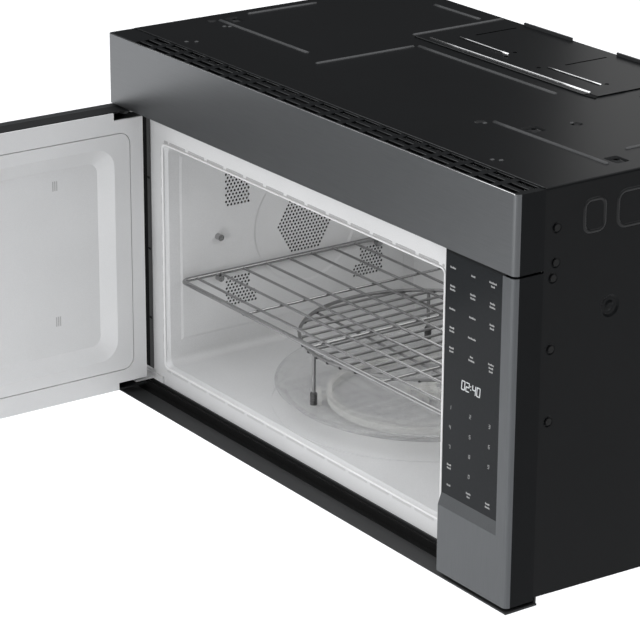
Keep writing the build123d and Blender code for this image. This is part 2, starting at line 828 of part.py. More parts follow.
with BuildPart() as cavity_front:
    block(left_x + sheet, right_x - sheet, flange_y, flange_y + sheet, pan_top_z, height - sheet)
    for side in (-1, 1):
        x0, x1 = sorted((side * (width / 2 - 2 * sheet), side * (width / 2 - sheet)))
        block(x0, x1, flange_y, flange_y + front_return, pan_top_z + front_return, height - front_return)
    for grow, mode in ((sheet, Mode.ADD), (0, Mode.SUBTRACT)):
        with BuildSketch(standing(flange_y)):
            with Locations((cavity_centre_x, cavity_centre_z)):
                RectangleRounded(cavity_width + 2 * (flange_flare + grow),
                                 cavity_height + 2 * (flange_flare + grow),
                                 cavity_bend_radius + flange_flare + grow)
        with BuildSketch(standing(cavity_mouth_y)):
            with Locations((cavity_centre_x, cavity_centre_z)):
                RectangleRounded(cavity_width + 2 * grow, cavity_height + 2 * grow,
                                 cavity_bend_radius + grow)
        loft(mode=mode)
    block(left_x + vent_window_side, right_x - vent_window_side, flange_y - 1, flange_y + 2 * sheet,
          vent_window_base, vent_window_top, mode=Mode.SUBTRACT)
    block(wiring_left, wiring_right, flange_y - 1, flange_y + 2 * sheet,
          wiring_base, wiring_top, mode=Mode.SUBTRACT)
    latch_slots(flange_y - 1, flange_y + 2 * sheet, barb_z + 1, barb_z + latch_travel + 1)
pieces["cavity_front"] = cavity_front

port_length = 84.0
port_height = 40.0
with BuildPart() as cavity_wrap:
    with BuildSketch(standing(cavity_mouth_y)):
        with Locations((cavity_centre_x, cavity_centre_z)):
            RectangleRounded(cavity_width + 2 * sheet, cavity_height + 2 * sheet, cavity_bend_radius + sheet)
            RectangleRounded(cavity_width, cavity_height, cavity_bend_radius, mode=Mode.SUBTRACT)
    extrude(amount=-cavity_depth)
    panel(cavity_left_x - sheet, cavity_right_x + sheet, cavity_floor_z - sheet, cavity_roof_z + sheet,
          cavity_back_y, cavity_back_y + sheet, cavity_bend_radius + sheet)
    block(cavity_left_x - sheet, cavity_left_x, cavity_mouth_y, cavity_back_y,
          cavity_floor_z + cavity_bend_radius, cavity_roof_z - cavity_bend_radius, mode=Mode.SUBTRACT)
    rod_z(turntable_x, turntable_y, cavity_floor_z - 2 * sheet, cavity_floor_z + 1, floor_hole_radius,
          mode=Mode.SUBTRACT)
    with BuildSketch(level(cavity_floor_z - floor_groove_depth)):
        with Locations((turntable_x, turntable_y)):
            Circle(floor_groove_radius + floor_groove_width / 2)
            Circle(floor_groove_radius - floor_groove_width / 2, mode=Mode.SUBTRACT)
    extrude(amount=floor_groove_depth, mode=Mode.SUBTRACT)
    block(cavity_right_x - 1, cavity_right_x + 2 * sheet,
          front_y + guide_setback - port_length / 2, front_y + guide_setback + port_length / 2,
          guide_z - port_height / 2, guide_z + port_height / 2, mode=Mode.SUBTRACT)
pieces["cavity_wrap"] = cavity_wrap


def inside_field(dy, dz):
    """Whether a hole centre lies in one of the five perforated fields of the oven's left side."""
    dy, dz = abs(dy), abs(dz)
    slope = field_flat_half + (field_half_width - field_flat_half) * (1 - dz / field_half_height)
    centre_field = dz <= field_half_height and dy <= slope
    in_width = corner_field_inner <= dy <= corner_field_outer
    in_height = corner_field_low <= dz <= corner_field_high
    near_cut = (dy - corner_field_inner) + (dz - corner_field_low) < corner_field_cut
    return centre_field or (in_width and in_height and not near_cut)


field_rows = int(corner_field_high / (hole_pitch * math.sqrt(3) / 2)) + 1
field_columns = int(corner_field_outer / hole_pitch) + 1
with BuildPart() as cavity_side_left:
    block(cavity_left_x - sheet, cavity_left_x, cavity_mouth_y, cavity_back_y,
          cavity_floor_z + cavity_bend_radius, cavity_roof_z - cavity_bend_radius)
    with BuildSketch(sideways(cavity_left_x - sheet)):
        for row in range(-field_rows, field_rows + 1):
            for column in range(-field_columns, field_columns + 1):
                dy = (column + (row % 2) / 2) * hole_pitch
                dz = row * hole_pitch * math.sqrt(3) / 2
                if inside_field(dy, dz):
                    with Locations((fan_y + dy, fan_z + dz)):
                        RegularPolygon(hole_radius, 6)
    extrude(amount=sheet, mode=Mode.SUBTRACT)
pieces["cavity_side_left"] = cavity_side_left

stud_low_z = rack_z - rack_frame_wire - stud_gap - stud_radius
with BuildPart() as rack_studs:
    for inset in (stud_front_inset, stud_rear_inset):
        for z in (stud_low_z, stud_low_z + stud_upper_step):
            rod_x(cavity_left_x, cavity_left_x + stud_length, cavity_mouth_y + inset, z, stud_radius)
            rod_x(cavity_right_x - stud_length, cavity_right_x, cavity_mouth_y + inset, z, stud_radius)
pieces["rack_studs"] = rack_studs

mica_thickness = 0.8
mica_border = 12.0
with BuildPart() as waveguide_cover:
    block(cavity_right_x - mica_thickness, cavity_right_x,
          front_y + guide_setback - port_length / 2 - mica_border,
          front_y + guide_setback + port_length / 2 + mica_border,
          guide_z - port_height / 2 - mica_border, guide_z + port_height / 2 + mica_border)
pieces["waveguide_cover"] = waveguide_cover

guide_wall = 1.2
guide_y = front_y + guide_setback
guide_outer_x = bay_left_x + guide_width
antenna_radius = 7.0
antenna_length = 14.0
antenna_gap = 2.0
fin_edge_gap = 4.0
with BuildPart() as waveguide:
    block(bay_left_x, guide_outer_x, guide_y - guide_length / 2, guide_y + guide_length / 2,
          guide_z - guide_height / 2, guide_z + guide_height / 2)
    block(bay_left_x - 1, guide_outer_x - guide_wall,
          guide_y - guide_length / 2 + guide_wall, guide_y + guide_length / 2 - guide_wall,
          guide_z - guide_height / 2 + guide_wall, guide_z + guide_height / 2 - guide_wall,
          mode=Mode.SUBTRACT)
    rod_x(guide_outer_x - 2 * guide_wall, guide_outer_x + 1, guide_y, guide_z,
          antenna_radius + antenna_gap, mode=Mode.SUBTRACT)
pieces["waveguide"] = waveguide

yoke_sheet = 2.5
with BuildPart() as magnetron:
    x0, x1 = guide_outer_x, guide_outer_x + magnetron_width
    z0, z1 = guide_z - magnetron_height / 2, guide_z + magnetron_height / 2
    block(x0, x1, guide_y - magnetron_depth / 2, guide_y + magnetron_depth / 2, z0, z1)
    block(x0 + yoke_sheet, x1 - yoke_sheet,
          guide_y - magnetron_depth / 2 - 1, guide_y + magnetron_depth / 2 + 1,
          z0 + yoke_sheet, z1 - yoke_sheet, mode=Mode.SUBTRACT)
    rod_x(x0, x1, guide_y, guide_z, tube_radius)
    for fin in range(magnetron_fins):
        fin_x = x0 + magnetron_width * (fin + 1) / (magnetron_fins + 1)
        block(fin_x - fin_thickness / 2, fin_x + fin_thickness / 2,
              guide_y - magnetron_depth / 2 + fin_edge_gap, guide_y + magnetron_depth / 2 - fin_edge_gap,
              z0, z1)
    rod_x(x0 - antenna_length, x0, guide_y, guide_z, antenna_radius)
pieces["magnetron"] = magnetron

transformer_x = right_x - transformer_inset
transformer_y = front_y + transformer_setback
coil_half_width = 30.0
coil_base = 20.0
coil_height = 44.0
core_edge_radius = 6.0
with BuildPart() as transformer:
    block(transformer_x - core_width / 2, transformer_x + core_width / 2,
          transformer_y - core_depth / 2, transformer_y + core_depth / 2, pan_top_z, pan_top_z + core_height)
    block(transformer_x - coil_half_width, transformer_x + coil_half_width,
          transformer_y - core_depth / 2 - coil_overhang, transformer_y + core_depth / 2 + coil_overhang,
          pan_top_z + coil_base, pan_top_z + coil_base + coil_height)
    for end in (0, -1):
        fillet(transformer.edges().filter_by(Axis.Z).group_by(Axis.Y)[end], core_edge_radius)
pieces["transformer"] = transformer

terminal_height = 9.0
terminal_width = 6.0
terminal_sheet = 1.0
terminal_offset = 10.0
with BuildPart() as capacitor:
    capacitor_x = right_x - capacitor_inset
    capacitor_y = front_y + capacitor_setback
    with BuildSketch(level(pan_top_z)):
        with Locations((capacitor_x, capacitor_y)):
            SlotOverall(capacitor_width, capacitor_depth)
    extrude(amount=capacitor_height)
    for terminal_x in (capacitor_x - terminal_offset, capacitor_x + terminal_offset):
        block(terminal_x - terminal_width / 2, terminal_x + terminal_width / 2,
              capacitor_y - terminal_sheet / 2, capacitor_y + terminal_sheet / 2,
              pan_top_z + capacitor_height, pan_top_z + capacitor_height + terminal_height)
pieces["capacitor"] = capacitor

# ------------------------------------------------------------------ convection unit
housing_back_x = cavity_left_x - sheet - convection_depth
housing_skin = 1.0
fan_front_x = cavity_left_x - sheet - convection_fan_gap
fan_back_x = fan_front_x - convection_fan_depth
heater_x = (fan_front_x + fan_back_x) / 2
heater_arc = 336.0
terminal_gap = 0.3
terminal_angles = [math.radians(90 + step * (360 - heater_arc) / 2) for step in (-1, 1)]
with BuildPart() as convection_housing:
    block(housing_back_x, cavity_left_x - sheet, fan_y - convection_half, fan_y + convection_half,
          fan_z - convection_half, fan_z + convection_half)
    block(housing_back_x + housing_skin, cavity_left_x,
          fan_y - convection_half + housing_skin, fan_y + convection_half - housing_skin,
          fan_z - convection_half + housing_skin, fan_z + convection_half - housing_skin,
          mode=Mode.SUBTRACT)
    rod_x(housing_back_x - 1, housing_back_x + 2, fan_y, fan_z, convection_shaft_hole, mode=Mode.SUBTRACT)
    for terminal in terminal_angles:
        rod_x(housing_back_x - 1, housing_back_x + 2, fan_y + heater_ring_radius * math.cos(terminal),
              fan_z + heater_ring_radius * math.sin(terminal), heater_rod_radius + terminal_gap,
              mode=Mode.SUBTRACT)
pieces["convection_housing"] = convection_housing

terminal_reach = 8.0
with BuildPart() as convection_heater:
    ring_start = (0, math.cos(terminal_angles[1]), math.sin(terminal_angles[1]))
    with Locations(Plane(origin=(heater_x, fan_y, fan_z), x_dir=ring_start, z_dir=(1, 0, 0))):
        Torus(heater_ring_radius, heater_rod_radius, major_angle=heater_arc)
    for terminal in terminal_angles:
        elbow_y = fan_y + heater_ring_radius * math.cos(terminal)
        elbow_z = fan_z + heater_ring_radius * math.sin(terminal)
        rod_x(housing_back_x - terminal_reach, heater_x, elbow_y, elbow_z, heater_rod_radius)
        with Locations((heater_x, elbow_y, elbow_z)):
            Sphere(heater_rod_radius)
pieces["convection_heater"] = convection_heater

fan_disc = 1.2
shaft_reach = 15.0
motor_cap = 4.0
with BuildPart() as convection_motor:
    rod_x(housing_back_x - convection_motor_length, housing_back_x, fan_y, fan_z, convection_motor_radius)
    rod_x(housing_back_x - convection_motor_length + motor_cap, housing_back_x + 1, fan_y, fan_z,
          convection_shaft_radius + shaft_clearance, mode=Mode.SUBTRACT)
pieces["convection_motor"] = convection_motor

with BuildPart() as convection_fan:
    rod_x(fan_back_x, fan_back_x + fan_disc, fan_y, fan_z, convection_fan_radius)
    rod_x(fan_back_x, fan_front_x, fan_y, fan_z, convection_hub_radius)
    rod_x(housing_back_x - shaft_reach, fan_back_x, fan_y, fan_z, convection_shaft_radius)
    with BuildSketch(sideways(fan_back_x)):
        with Locations((fan_y, fan_z)):
            with PolarLocations(convection_fan_radius - convection_blade_length / 2 - 2, convection_blades):
                Rectangle(convection_blade_length, convection_blade_thickness, rotation=convection_blade_turn)
    extrude(amount=convection_fan_depth)
pieces["convection_fan"] = convection_fan

# ------------------------------------------------------------------ vent blower
duct_radius = blower_wheel_radius + blower_duct_gap
partition_x = blower_motor_length / 2
wheel_start = partition_x + blower_housing_wall + blower_end_gap
wheel_end = wheel_start + blower_wheel_length
duct_end = wheel_end + blower_end_gap + blower_housing_wall
duct_top_z = height - sheet


def duct_section(x, radius):
    """Round-bottomed duct section that opens upwards."""
    with BuildSketch(sideways(x)) as section:
        with Locations((blower_y, blower_z)):
            Circle(radius)
        with Locations((blower_y, (blower_z + duct_top_z) / 2)):
            Rectangle(2 * radius, duct_top_z - blower_z)
    return section.sketch


with BuildPart() as blower_housing:
    extrude(duct_section(-duct_end, duct_radius), amount=2 * duct_end)
    spans = ((-duct_end, -partition_x - blower_housing_wall), (-partition_x, partition_x),
             (partition_x + blower_housing_wall, duct_end))
    for x0, x1 in spans:
        low = x0 + (blower_housing_wall if x0 == -duct_end else 0)
        high = x1 - (blower_housing_wall if x1 == duct_end else 0)
        extrude(duct_section(low, duct_radius - blower_housing_wall), amount=high - low, mode=Mode.SUBTRACT)
    for side in (-1, 1):
        x0, x1 = sorted((side * (duct_end - 2 * blower_housing_wall), side * (duct_end + 1)))
        rod_x(x0, x1, blower_y, blower_z, blower_inlet_radius, mode=Mode.SUBTRACT)
    rod_x(-duct_end + 3, duct_end - 3, blower_y, blower_z, blower_shaft_hole, mode=Mode.SUBTRACT)
    block(-duct_end, duct_end, blower_y - blower_foot_half, blower_y + blower_foot_half,
          cavity_roof_z + sheet, blower_z - duct_radius + blower_housing_wall / 2)
pieces["blower_housing"] = blower_housing

with BuildPart() as blower_motor:
    rod_x(-partition_x, partition_x, blower_y, blower_z, blower_motor_radius)
    rod_x(-partition_x - 1, partition_x + 1, blower_y, blower_z, blower_shaft_radius + shaft_clearance,
          mode=Mode.SUBTRACT)
pieces["blower_motor"] = blower_motor

wheel_plate = 2.0
wheel_hub_radius = 10.0
wheel_hub_length = 22.0
wheel_blade_turn = 28.0
wheel_blade_overlap = 1.5
blade_middle = (blower_wheel_radius + blower_wheel_bore) / 2
blade_chord = blower_wheel_radius - blower_wheel_bore + wheel_blade_overlap
with BuildPart() as blower_wheels:
    rod_x(-wheel_start - wheel_hub_length, wheel_start + wheel_hub_length, blower_y, blower_z,
          blower_shaft_radius)
    for side in (-1, 1):
        near, far = side * wheel_start, side * wheel_end
        x0, x1 = sorted((near, near + side * wheel_plate))
        rod_x(x0, x1, blower_y, blower_z, blower_wheel_radius)
        x0, x1 = sorted((near, near + side * wheel_hub_length))
        rod_x(x0, x1, blower_y, blower_z, wheel_hub_radius)
        x0, x1 = sorted((near + side * wheel_plate, far - side * wheel_plate))
        with BuildSketch(sideways(x0)):
            with Locations((blower_y, blower_z)):
                with PolarLocations(blade_middle, blower_blades):
                    Rectangle(blade_chord, blower_blade_thickness, rotation=wheel_blade_turn)
        extrude(amount=x1 - x0)
        x0, x1 = sorted((far - side * wheel_plate, far))
        with BuildSketch(sideways(x0)):
            with Locations((blower_y, blower_z)):
                Circle(blower_wheel_radius)
                Circle(blower_wheel_bore, mode=Mode.SUBTRACT)
        extrude(amount=x1 - x0)
pieces["blower_wheels"] = blower_wheels

plate_notch_width = 14.0
plate_notch_depth = 8.0
plate_bead_height = 0.6
plate_bead_setback = 10.0
plate_bead_width = 3.0
plate_rib_setback = 40.0
plate_rib_length = 90.0
plate_rib_width = 5.0
plate_rib_places = (-79.0, 81.0)
plate_slit_setback = 92.0
plate_slit_length = 60.0
plate_slit_width = 3.0
plate_slit_places = (-122.5, 39.5)
plate_hole_radius = 2.6
plate_hole_places = ((-35.5, 50.0), (-27.5, 31.0), (31.5, 30.0), (126.5, 48.0))
with BuildPart() as exhaust_plate:
    block(-exhaust_half_width, exhaust_half_width, exhaust_front_y, exhaust_back_y,
          height, height + exhaust_sheet)
    block(exhaust_half_width - plate_notch_width, exhaust_half_width + 1,
          exhaust_front_y - 1, exhaust_front_y + plate_notch_depth,
          height - 1, height + exhaust_sheet + 1, mode=Mode.SUBTRACT)
    with BuildSketch(level(height + exhaust_sheet)):
        with Locations((0, exhaust_front_y + plate_bead_setback)):
            SlotOverall(2 * (exhaust_half_width - plate_notch_width) - plate_bead_width, plate_bead_width)
        with Locations(*((x, exhaust_front_y + plate_rib_setback) for x in plate_rib_places)):
            SlotOverall(plate_rib_length, plate_rib_width)
    extrude(amount=plate_bead_height)
    with BuildSketch(level(height)):
        with Locations(*((x, exhaust_front_y + plate_slit_setback) for x in plate_slit_places)):
            Rectangle(plate_slit_width, plate_slit_length)
        with Locations(*((x, exhaust_front_y + setback) for x, setback in plate_hole_places)):
            Circle(plate_hole_radius)
    extrude(amount=exhaust_sheet, mode=Mode.SUBTRACT)
pieces["exhaust_plate"] = exhaust_plate

# ------------------------------------------------------------------ cooling fan of the right bay
cooling_x = right_x - cooling_inset
cooling_y = back_y - cooling_back_gap
cooling_z = cavity_roof_z - cooling_roof_gap
cooling_motor_gap = 6.0
cooling_bracket_half_width = 16.0
cooling_bracket_half_height = 12.0
cooling_shaft_reach = 14.0
cooling_blade_width = 22.0
cooling_blade_thickness = 2.0
cooling_blade_setback = 6.0
cooling_hub_gap = 2.0
shroud_sheet = 1.2
shroud_half_height = 62.0
cooling_hub_radius = 14.0
cooling_end_y = cooling_y + cooling_depth
cooling_motor_y = cooling_end_y + cooling_motor_gap
with BuildPart() as cooling_shroud:
    block(bay_left_x, right_x - sheet, cooling_y - shroud_sheet, cooling_y,
          cooling_z - shroud_half_height, cooling_z + shroud_half_height)
    rod_y(cooling_x, cooling_y, cooling_end_y, cooling_z, cooling_radius + cooling_ring_gap + shroud_sheet)
    rod_y(cooling_x, cooling_y - 2, cooling_end_y + 1, cooling_z, cooling_radius + cooling_ring_gap,
          mode=Mode.SUBTRACT)
pieces["cooling_shroud"] = cooling_shroud

with BuildPart() as cooling_motor:
    rod_y(cooling_x, cooling_motor_y, cooling_motor_y + cooling_motor_length, cooling_z, cooling_motor_radius)
    block(cooling_x - cooling_bracket_half_width, cooling_x + cooling_bracket_half_width,
          cooling_motor_y + cooling_motor_length / 2, back_y - sheet,
          cooling_z - cooling_bracket_half_height, cooling_z + cooling_bracket_half_height)
    rod_y(cooling_x, cooling_motor_y - 1, cooling_motor_y + cooling_shaft_reach + 2, cooling_z,
          cooling_shaft_radius + shaft_clearance, mode=Mode.SUBTRACT)
pieces["cooling_motor"] = cooling_motor

with BuildPart() as cooling_fan:
    rod_y(cooling_x, cooling_y + cooling_hub_gap, cooling_end_y - cooling_hub_gap, cooling_z,
          cooling_hub_radius)
    rod_y(cooling_x, cooling_end_y - cooling_hub_gap, cooling_motor_y + cooling_shaft_reach, cooling_z,
          cooling_shaft_radius)
    for blade in range(cooling_blades):
        angle = 360 * blade / cooling_blades
        with BuildSketch(standing(cooling_y + cooling_blade_setback)):
            with Locations((cooling_x, cooling_z)):
                with PolarLocations((cooling_radius + cooling_hub_radius) / 2 - 1, 1, start_angle=angle):
                    SlotOverall(cooling_radius - cooling_hub_radius + 2, cooling_blade_width)
        extrude(amount=-cooling_blade_thickness)
pieces["cooling_fan"] = cooling_fan

# ------------------------------------------------------------------ turntable
shank_depth = 11.0
motor_ear_reach = 9.0
motor_ear_half = 7.0
motor_ear_sheet = 2.0
coupler_arm_thickness = 4.0
coupler_boss_radius = 4.0
shank_base_z = cavity_floor_z - sheet - shank_depth
coupler_top_z = tray_base_z - coupler_gap
coupler_base_z = coupler_top_z - coupler_height
with BuildPart() as turntable_motor:
    rod_z(turntable_x, turntable_y, cavity_floor_z - sheet - motor_height, cavity_floor_z - sheet,
          motor_radius)
    block(turntable_x - motor_radius - motor_ear_reach, turntable_x + motor_radius + motor_ear_reach,
          turntable_y - motor_ear_half, turntable_y + motor_ear_half,
          cavity_floor_z - sheet - motor_ear_sheet, cavity_floor_z - sheet)
    rod_z(turntable_x, turntable_y, shank_base_z - 1, cavity_floor_z,
          coupler_shank_radius + coupler_clearance, mode=Mode.SUBTRACT)
pieces["turntable_motor"] = turntable_motor

with BuildPart() as turntable_coupler:
    rod_z(turntable_x, turntable_y, coupler_base_z, coupler_top_z, coupler_hub_radius)
    rod_z(turntable_x, turntable_y, shank_base_z, coupler_base_z, coupler_shank_radius)
    with BuildSketch(level(coupler_top_z - coupler_arm_thickness)):
        with Locations((turntable_x, turntable_y)):
            with PolarLocations(coupler_arm_length / 2, 3):
                SlotOverall(coupler_arm_length + coupler_arm_width / 2, coupler_arm_width)
    extrude(amount=coupler_arm_thickness)
    rod_z(turntable_x, turntable_y, coupler_top_z, tray_base_z, coupler_boss_radius)
pieces["turntable_coupler"] = turntable_coupler

rim_top_z = tray_top_z + tray_rim_height
lug_middle = coupler_arm_width / 2 + coupler_gap + tray_lug_width / 2
lug_reach = coupler_arm_length - 6.0
with BuildPart() as glass_tray:
    with BuildSketch(standing(turntable_y)):
        with BuildLine():
            Polyline(
                (turntable_x, tray_base_z), (turntable_x + tray_radius - tray_skirt, tray_base_z),
                (turntable_x + tray_radius, rim_top_z - tray_edge_height),
                (turntable_x + tray_radius, rim_top_z),
                (turntable_x + tray_radius - tray_rim_width, rim_top_z),
                (turntable_x + tray_radius - tray_rim_width - tray_rim_slope, tray_top_z),
                (turntable_x, tray_top_z), close=True,
            )
        make_face()
    revolve(axis=Axis((turntable_x, turntable_y, 0), (0, 0, 1)))
    with BuildSketch(level(tray_base_z - tray_lug_depth)):
        with Locations((turntable_x, turntable_y)):
            for shift in (-lug_middle, lug_middle):
                for arm in range(3):
                    angle = math.radians(120 * arm)
                    with Locations((lug_reach * math.cos(angle) - shift * math.sin(angle),
                                    lug_reach * math.sin(angle) + shift * math.cos(angle))):
                        Circle(tray_lug_width / 2)
    extrude(amount=tray_lug_depth)
pieces["glass_tray"] = glass_tray

pin_end = roller_track_radius + roller_width / 2 + roller_side_gap
pin_start = roller_track_radius - roller_width / 2 - roller_side_gap
pin_shoulder = roller_pin_radius + 1.5
with BuildPart() as roller_ring:
    with BuildSketch(level(roller_axis_z - hoop_height / 2)):
        with Locations((turntable_x, turntable_y)):
            Circle(hoop_radius + hoop_width / 2)
            Circle(hoop_radius - hoop_width / 2, mode=Mode.SUBTRACT)
    extrude(amount=hoop_height)
    for index in range(roller_count):
        angle = 360 * index / roller_count
        outward = Vector(math.cos(math.radians(angle)), math.sin(math.radians(angle)), 0)
        centre = Vector(turntable_x, turntable_y, roller_axis_z)
        for start, end, radius in ((hoop_radius, pin_end + pin_tail, roller_pin_radius),
                                   (hoop_radius, pin_start, pin_shoulder),
                                   (pin_end, pin_end + pin_tail, pin_shoulder)):
            with BuildSketch(Plane(origin=centre + outward * start, z_dir=outward)):
                Circle(radius)
            extrude(amount=end - start)
pieces["roller_ring"] = roller_ring


def roller(index):
    """One wheel of the roller ring on its radial pin."""
    angle = math.radians(360 * index / roller_count)
    outward = Vector(math.cos(angle), math.sin(angle), 0)
    centre = Vector(turntable_x, turntable_y, roller_axis_z)
    start = centre + outward * (roller_track_radius - roller_width / 2)
    with BuildPart() as wheel:
        with BuildSketch(Plane(origin=start, z_dir=outward)):
            Circle(roller_radius)
            Circle(roller_pin_radius + roller_clearance, mode=Mode.SUBTRACT)
        extrude(amount=roller_width)
    return wheel


for index in range(roller_count):
    pieces[f"roller_{index + 1}"] = roller(index)

# ------------------------------------------------------------------ racks
with BuildPart() as wire_rack:
    with BuildLine(level(rack_z)) as rim:
        FilletPolyline((rack_left_x, rack_front_y), (rack_right_x, rack_front_y), (rack_right_x, rack_back_y),
                       (rack_left_x, rack_back_y), radius=rack_corner_radius, close=True)
    with BuildSketch(Plane(origin=rim.line @ 0, z_dir=rim.line % 0)):
        Circle(rack_frame_wire)
    sweep()
    for index in range(rack_wire_count):
        rod_x(rack_left_x, rack_right_x, rack_front_y + rack_first_wire + index * rack_wire_pitch,
              rack_z, rack_thin_wire)
    for step in (-1, 0, 1):
        rod_y(cavity_centre_x + step * rack_cross_pitch, rack_front_y, rack_back_y,
              rack_z - 2 * rack_thin_wire + rack_weld, rack_thin_wire)
pieces["wire_rack"] = wire_rack

# the round rack is drawn about its own axis, with its hoop at height 0, and then set on the tray
with BuildPart() as round_rack:
    with BuildSketch(Plane.XZ):
        with Locations((round_rack_radius, 0)):
            RegularPolygon(round_rack_wire, round_rack_facets, rotation=180 / round_rack_facets)
    revolve(axis=Axis.Z)
    for index in range(round_rack_bar_count):
        shift = (index - (round_rack_bar_count - 1) / 2) * round_rack_bar_pitch
        half = math.sqrt(round_rack_radius ** 2 - shift ** 2)
        rod_y(shift, -half, half, 0, round_rack_bar_wire)
    for shift in (-round_rack_cross_offset, round_rack_cross_offset):
        half = math.sqrt(round_rack_radius ** 2 - shift ** 2)
        rod_x(-half, half, shift, rack_weld - 2 * round_rack_bar_wire, round_rack_bar_wire)
    for angle in round_rack_leg_angles:
        x = round_rack_radius * math.cos(math.radians(angle))
        y = round_rack_radius * math.sin(math.radians(angle))
        rod_z(x, y, round_rack_foot_height / 2 - round_rack_height, 0, round_rack_wire)
        rod_z(x, y, -round_rack_height, round_rack_foot_height - round_rack_height, round_rack_foot_radius)

# ================================================================== latch side of the cabinet
board_half_width = 9.0
board_left = latch_x - board_half_width
board_right = latch_x + board_half_width
board_depth = 12.0
board_margin = 30.0
lever_x_half = 2.0
lever_thickness = 3.0
lever_length = 22.0
lever_pin_radius = 1.5
lever_clearance = 0.05
cheek = 2.0
cheek_gap = 0.5
catch_depth = 7.0
lever_tip_gap = 4.0
lever_pivot_drop = 16.0
lever_hub_radius = 3.0
cheek_behind = 5.0
cheek_below = 6.0
lever_y = front_y + door_thickness + latch_hook_reach + lever_tip_gap
lever_pivot_z = latch_high_z - lever_pivot_drop
with BuildPart() as latch_board:
    board_y = flange_y + sheet
    block(board_left, board_right, board_y, board_y + board_depth,
          latch_low_z - board_margin, latch_high_z + board_margin)
    latch_slots(board_y - 1, board_y + board_depth + 1, latch_hook_height / 4 + 1, barb_z + latch_travel + 1)
    latch_slots(board_y + catch_depth, board_y + board_depth + 1, barb_z + 1, barb_z + latch_travel + 1)
    for side in (-1, 1):
        x0, x1 = sorted((latch_x + side * (lever_x_half + cheek_gap),
                         latch_x + side * (lever_x_half + cheek_gap + cheek)))
        block(x0, x1, board_y + board_depth, lever_y + cheek_behind,
              lever_pivot_z - cheek_below, lever_pivot_z + cheek_behind)
    rod_x(latch_x - lever_x_half - cheek_gap, latch_x + lever_x_half + cheek_gap, lever_y, lever_pivot_z,
          lever_pin_radius)
pieces["latch_board"] = latch_board

with BuildPart() as interlock_lever:
    block(latch_x - lever_x_half, latch_x + lever_x_half, lever_y - lever_thickness / 2,
          lever_y + lever_thickness / 2, lever_pivot_z, lever_pivot_z + lever_length)
    rod_x(latch_x - lever_x_half, latch_x + lever_x_half, lever_y, lever_pivot_z, lever_hub_radius)
    rod_x(latch_x - lever_x_half - 1, latch_x + lever_x_half + 1, lever_y, lever_pivot_z,
          lever_pin_radius + lever_clearance, mode=Mode.SUBTRACT)
pieces["interlock_lever"] = interlock_lever

switch_width = 7.0
switch_depth = 16.0
switch_half_height = 14.0
with BuildPart() as door_switches:
    for z in (latch_low_z, latch_high_z):
        block(board_right, board_right + switch_width, flange_y + sheet, flange_y + sheet + switch_depth,
              z - switch_half_height, z + switch_half_height)
pieces["door_switches"] = door_switches

strap_gap = 0.8
bracket_gap = hinge_notch_cap + strap_gap
pin_collar = 6.0
collar_play = 0.05


def hinge_bracket(end_z, inward):
    """Strap with its eye and pin at one end of the door, and a foot on the oven's front plate."""
    def span(a, b):
        return sorted((end_z + inward * a, end_z + inward * b))

    strap = span(bracket_gap, bracket_gap + hinge_plate)
    block(left_x + hinge_strap_left, left_x + hinge_strap_right, hinge_y, flange_y, *strap)
    rod_z(hinge_x, hinge_y, *strap, hinge_eye_radius)
    rod_z(hinge_x, hinge_y, *span(bracket_gap, hinge_notch_z + hinge_pin_length), hinge_pin_radius)
    rod_z(hinge_x, hinge_y, *span(bracket_gap, hinge_notch_z - collar_play), pin_collar)
    block(left_x + hinge_strap_left, left_x + hinge_foot_right, flange_y - hinge_plate, flange_y,
          *span(1, hinge_notch_z - 1))


with BuildPart() as hinge_brackets:
    hinge_bracket(door_base_z, 1)
    hinge_bracket(door_top_z, -1)
pieces["hinge_brackets"] = hinge_brackets

# ================================================================== door, modelled shut
door_ring_y = door_inner_y - choke_ring_thickness
web_y = front_y + skin_sheet + door_glass_thickness
web_thickness = 2.5
window_width = door_width - 2 * window_inset_x
window_height = door_height - 2 * window_inset_z
edge_radius = 3.0
window_radius = 6.0
window_lip = 4.0
notch_wall = 2.0
notch_low_z = door_base_z + hinge_notch_z
notch_high_z = door_top_z - hinge_notch_z


def cut_hinge_notches(cap):
    """Corners cleared for the hinge straps over the door's whole swing, under a cap at each end."""
    for z0, z1 in ((door_base_z + cap, notch_low_z), (notch_high_z, door_top_z - cap)):
        block(left_x - 1, left_x + hinge_notch_x, front_y + door_wall, door_inner_y + 1, z0, z1,
              mode=Mode.SUBTRACT)


def door_window(y0, y1, extra, mode=Mode.SUBTRACT):
    """Window-sized slab, larger than the view by extra on every side."""
    panel(door_centre_x - window_width / 2 - extra, door_centre_x + window_width / 2 + extra,
          door_centre_z - window_height / 2 - extra, door_centre_z + window_height / 2 + extra,
          y0, y1, window_radius + extra, mode=mode)


handle_x = door_right_x - handle_inset
handle_post_z = (door_centre_z - handle_length / 2 + handle_post_inset,
                 door_centre_z + handle_length / 2 - handle_post_inset)
screw_shank = 2.0
screw_depth = 12.0
screw_head_radius = 4.0
screw_head = 2.4
with BuildPart() as door_skin:
    block(left_x, door_right_x, front_y, front_y + skin_return, door_base_z, door_top_z)
    fillet(door_skin.edges().filter_by(Axis.Z).group_by(Axis.Y)[0], edge_radius)
    block(left_x + skin_sheet, door_right_x - skin_sheet, front_y + skin_sheet, front_y + skin_return + 1,
          door_base_z + skin_sheet, door_top_z - skin_sheet, mode=Mode.SUBTRACT)
    door_window(front_y - 1, front_y + skin_sheet + 1, 0)
    for z in handle_post_z:
        rod_y(handle_x, front_y - 1, front_y + skin_sheet + 1, z, screw_shank, mode=Mode.SUBTRACT)
    cut_hinge_notches(hinge_notch_cap)
door_pieces = {"door_skin": door_skin}

with BuildPart() as door_glass:
    door_window(front_y + skin_sheet, web_y, glass_rebate, mode=Mode.ADD)
door_pieces["door_glass"] = door_glass

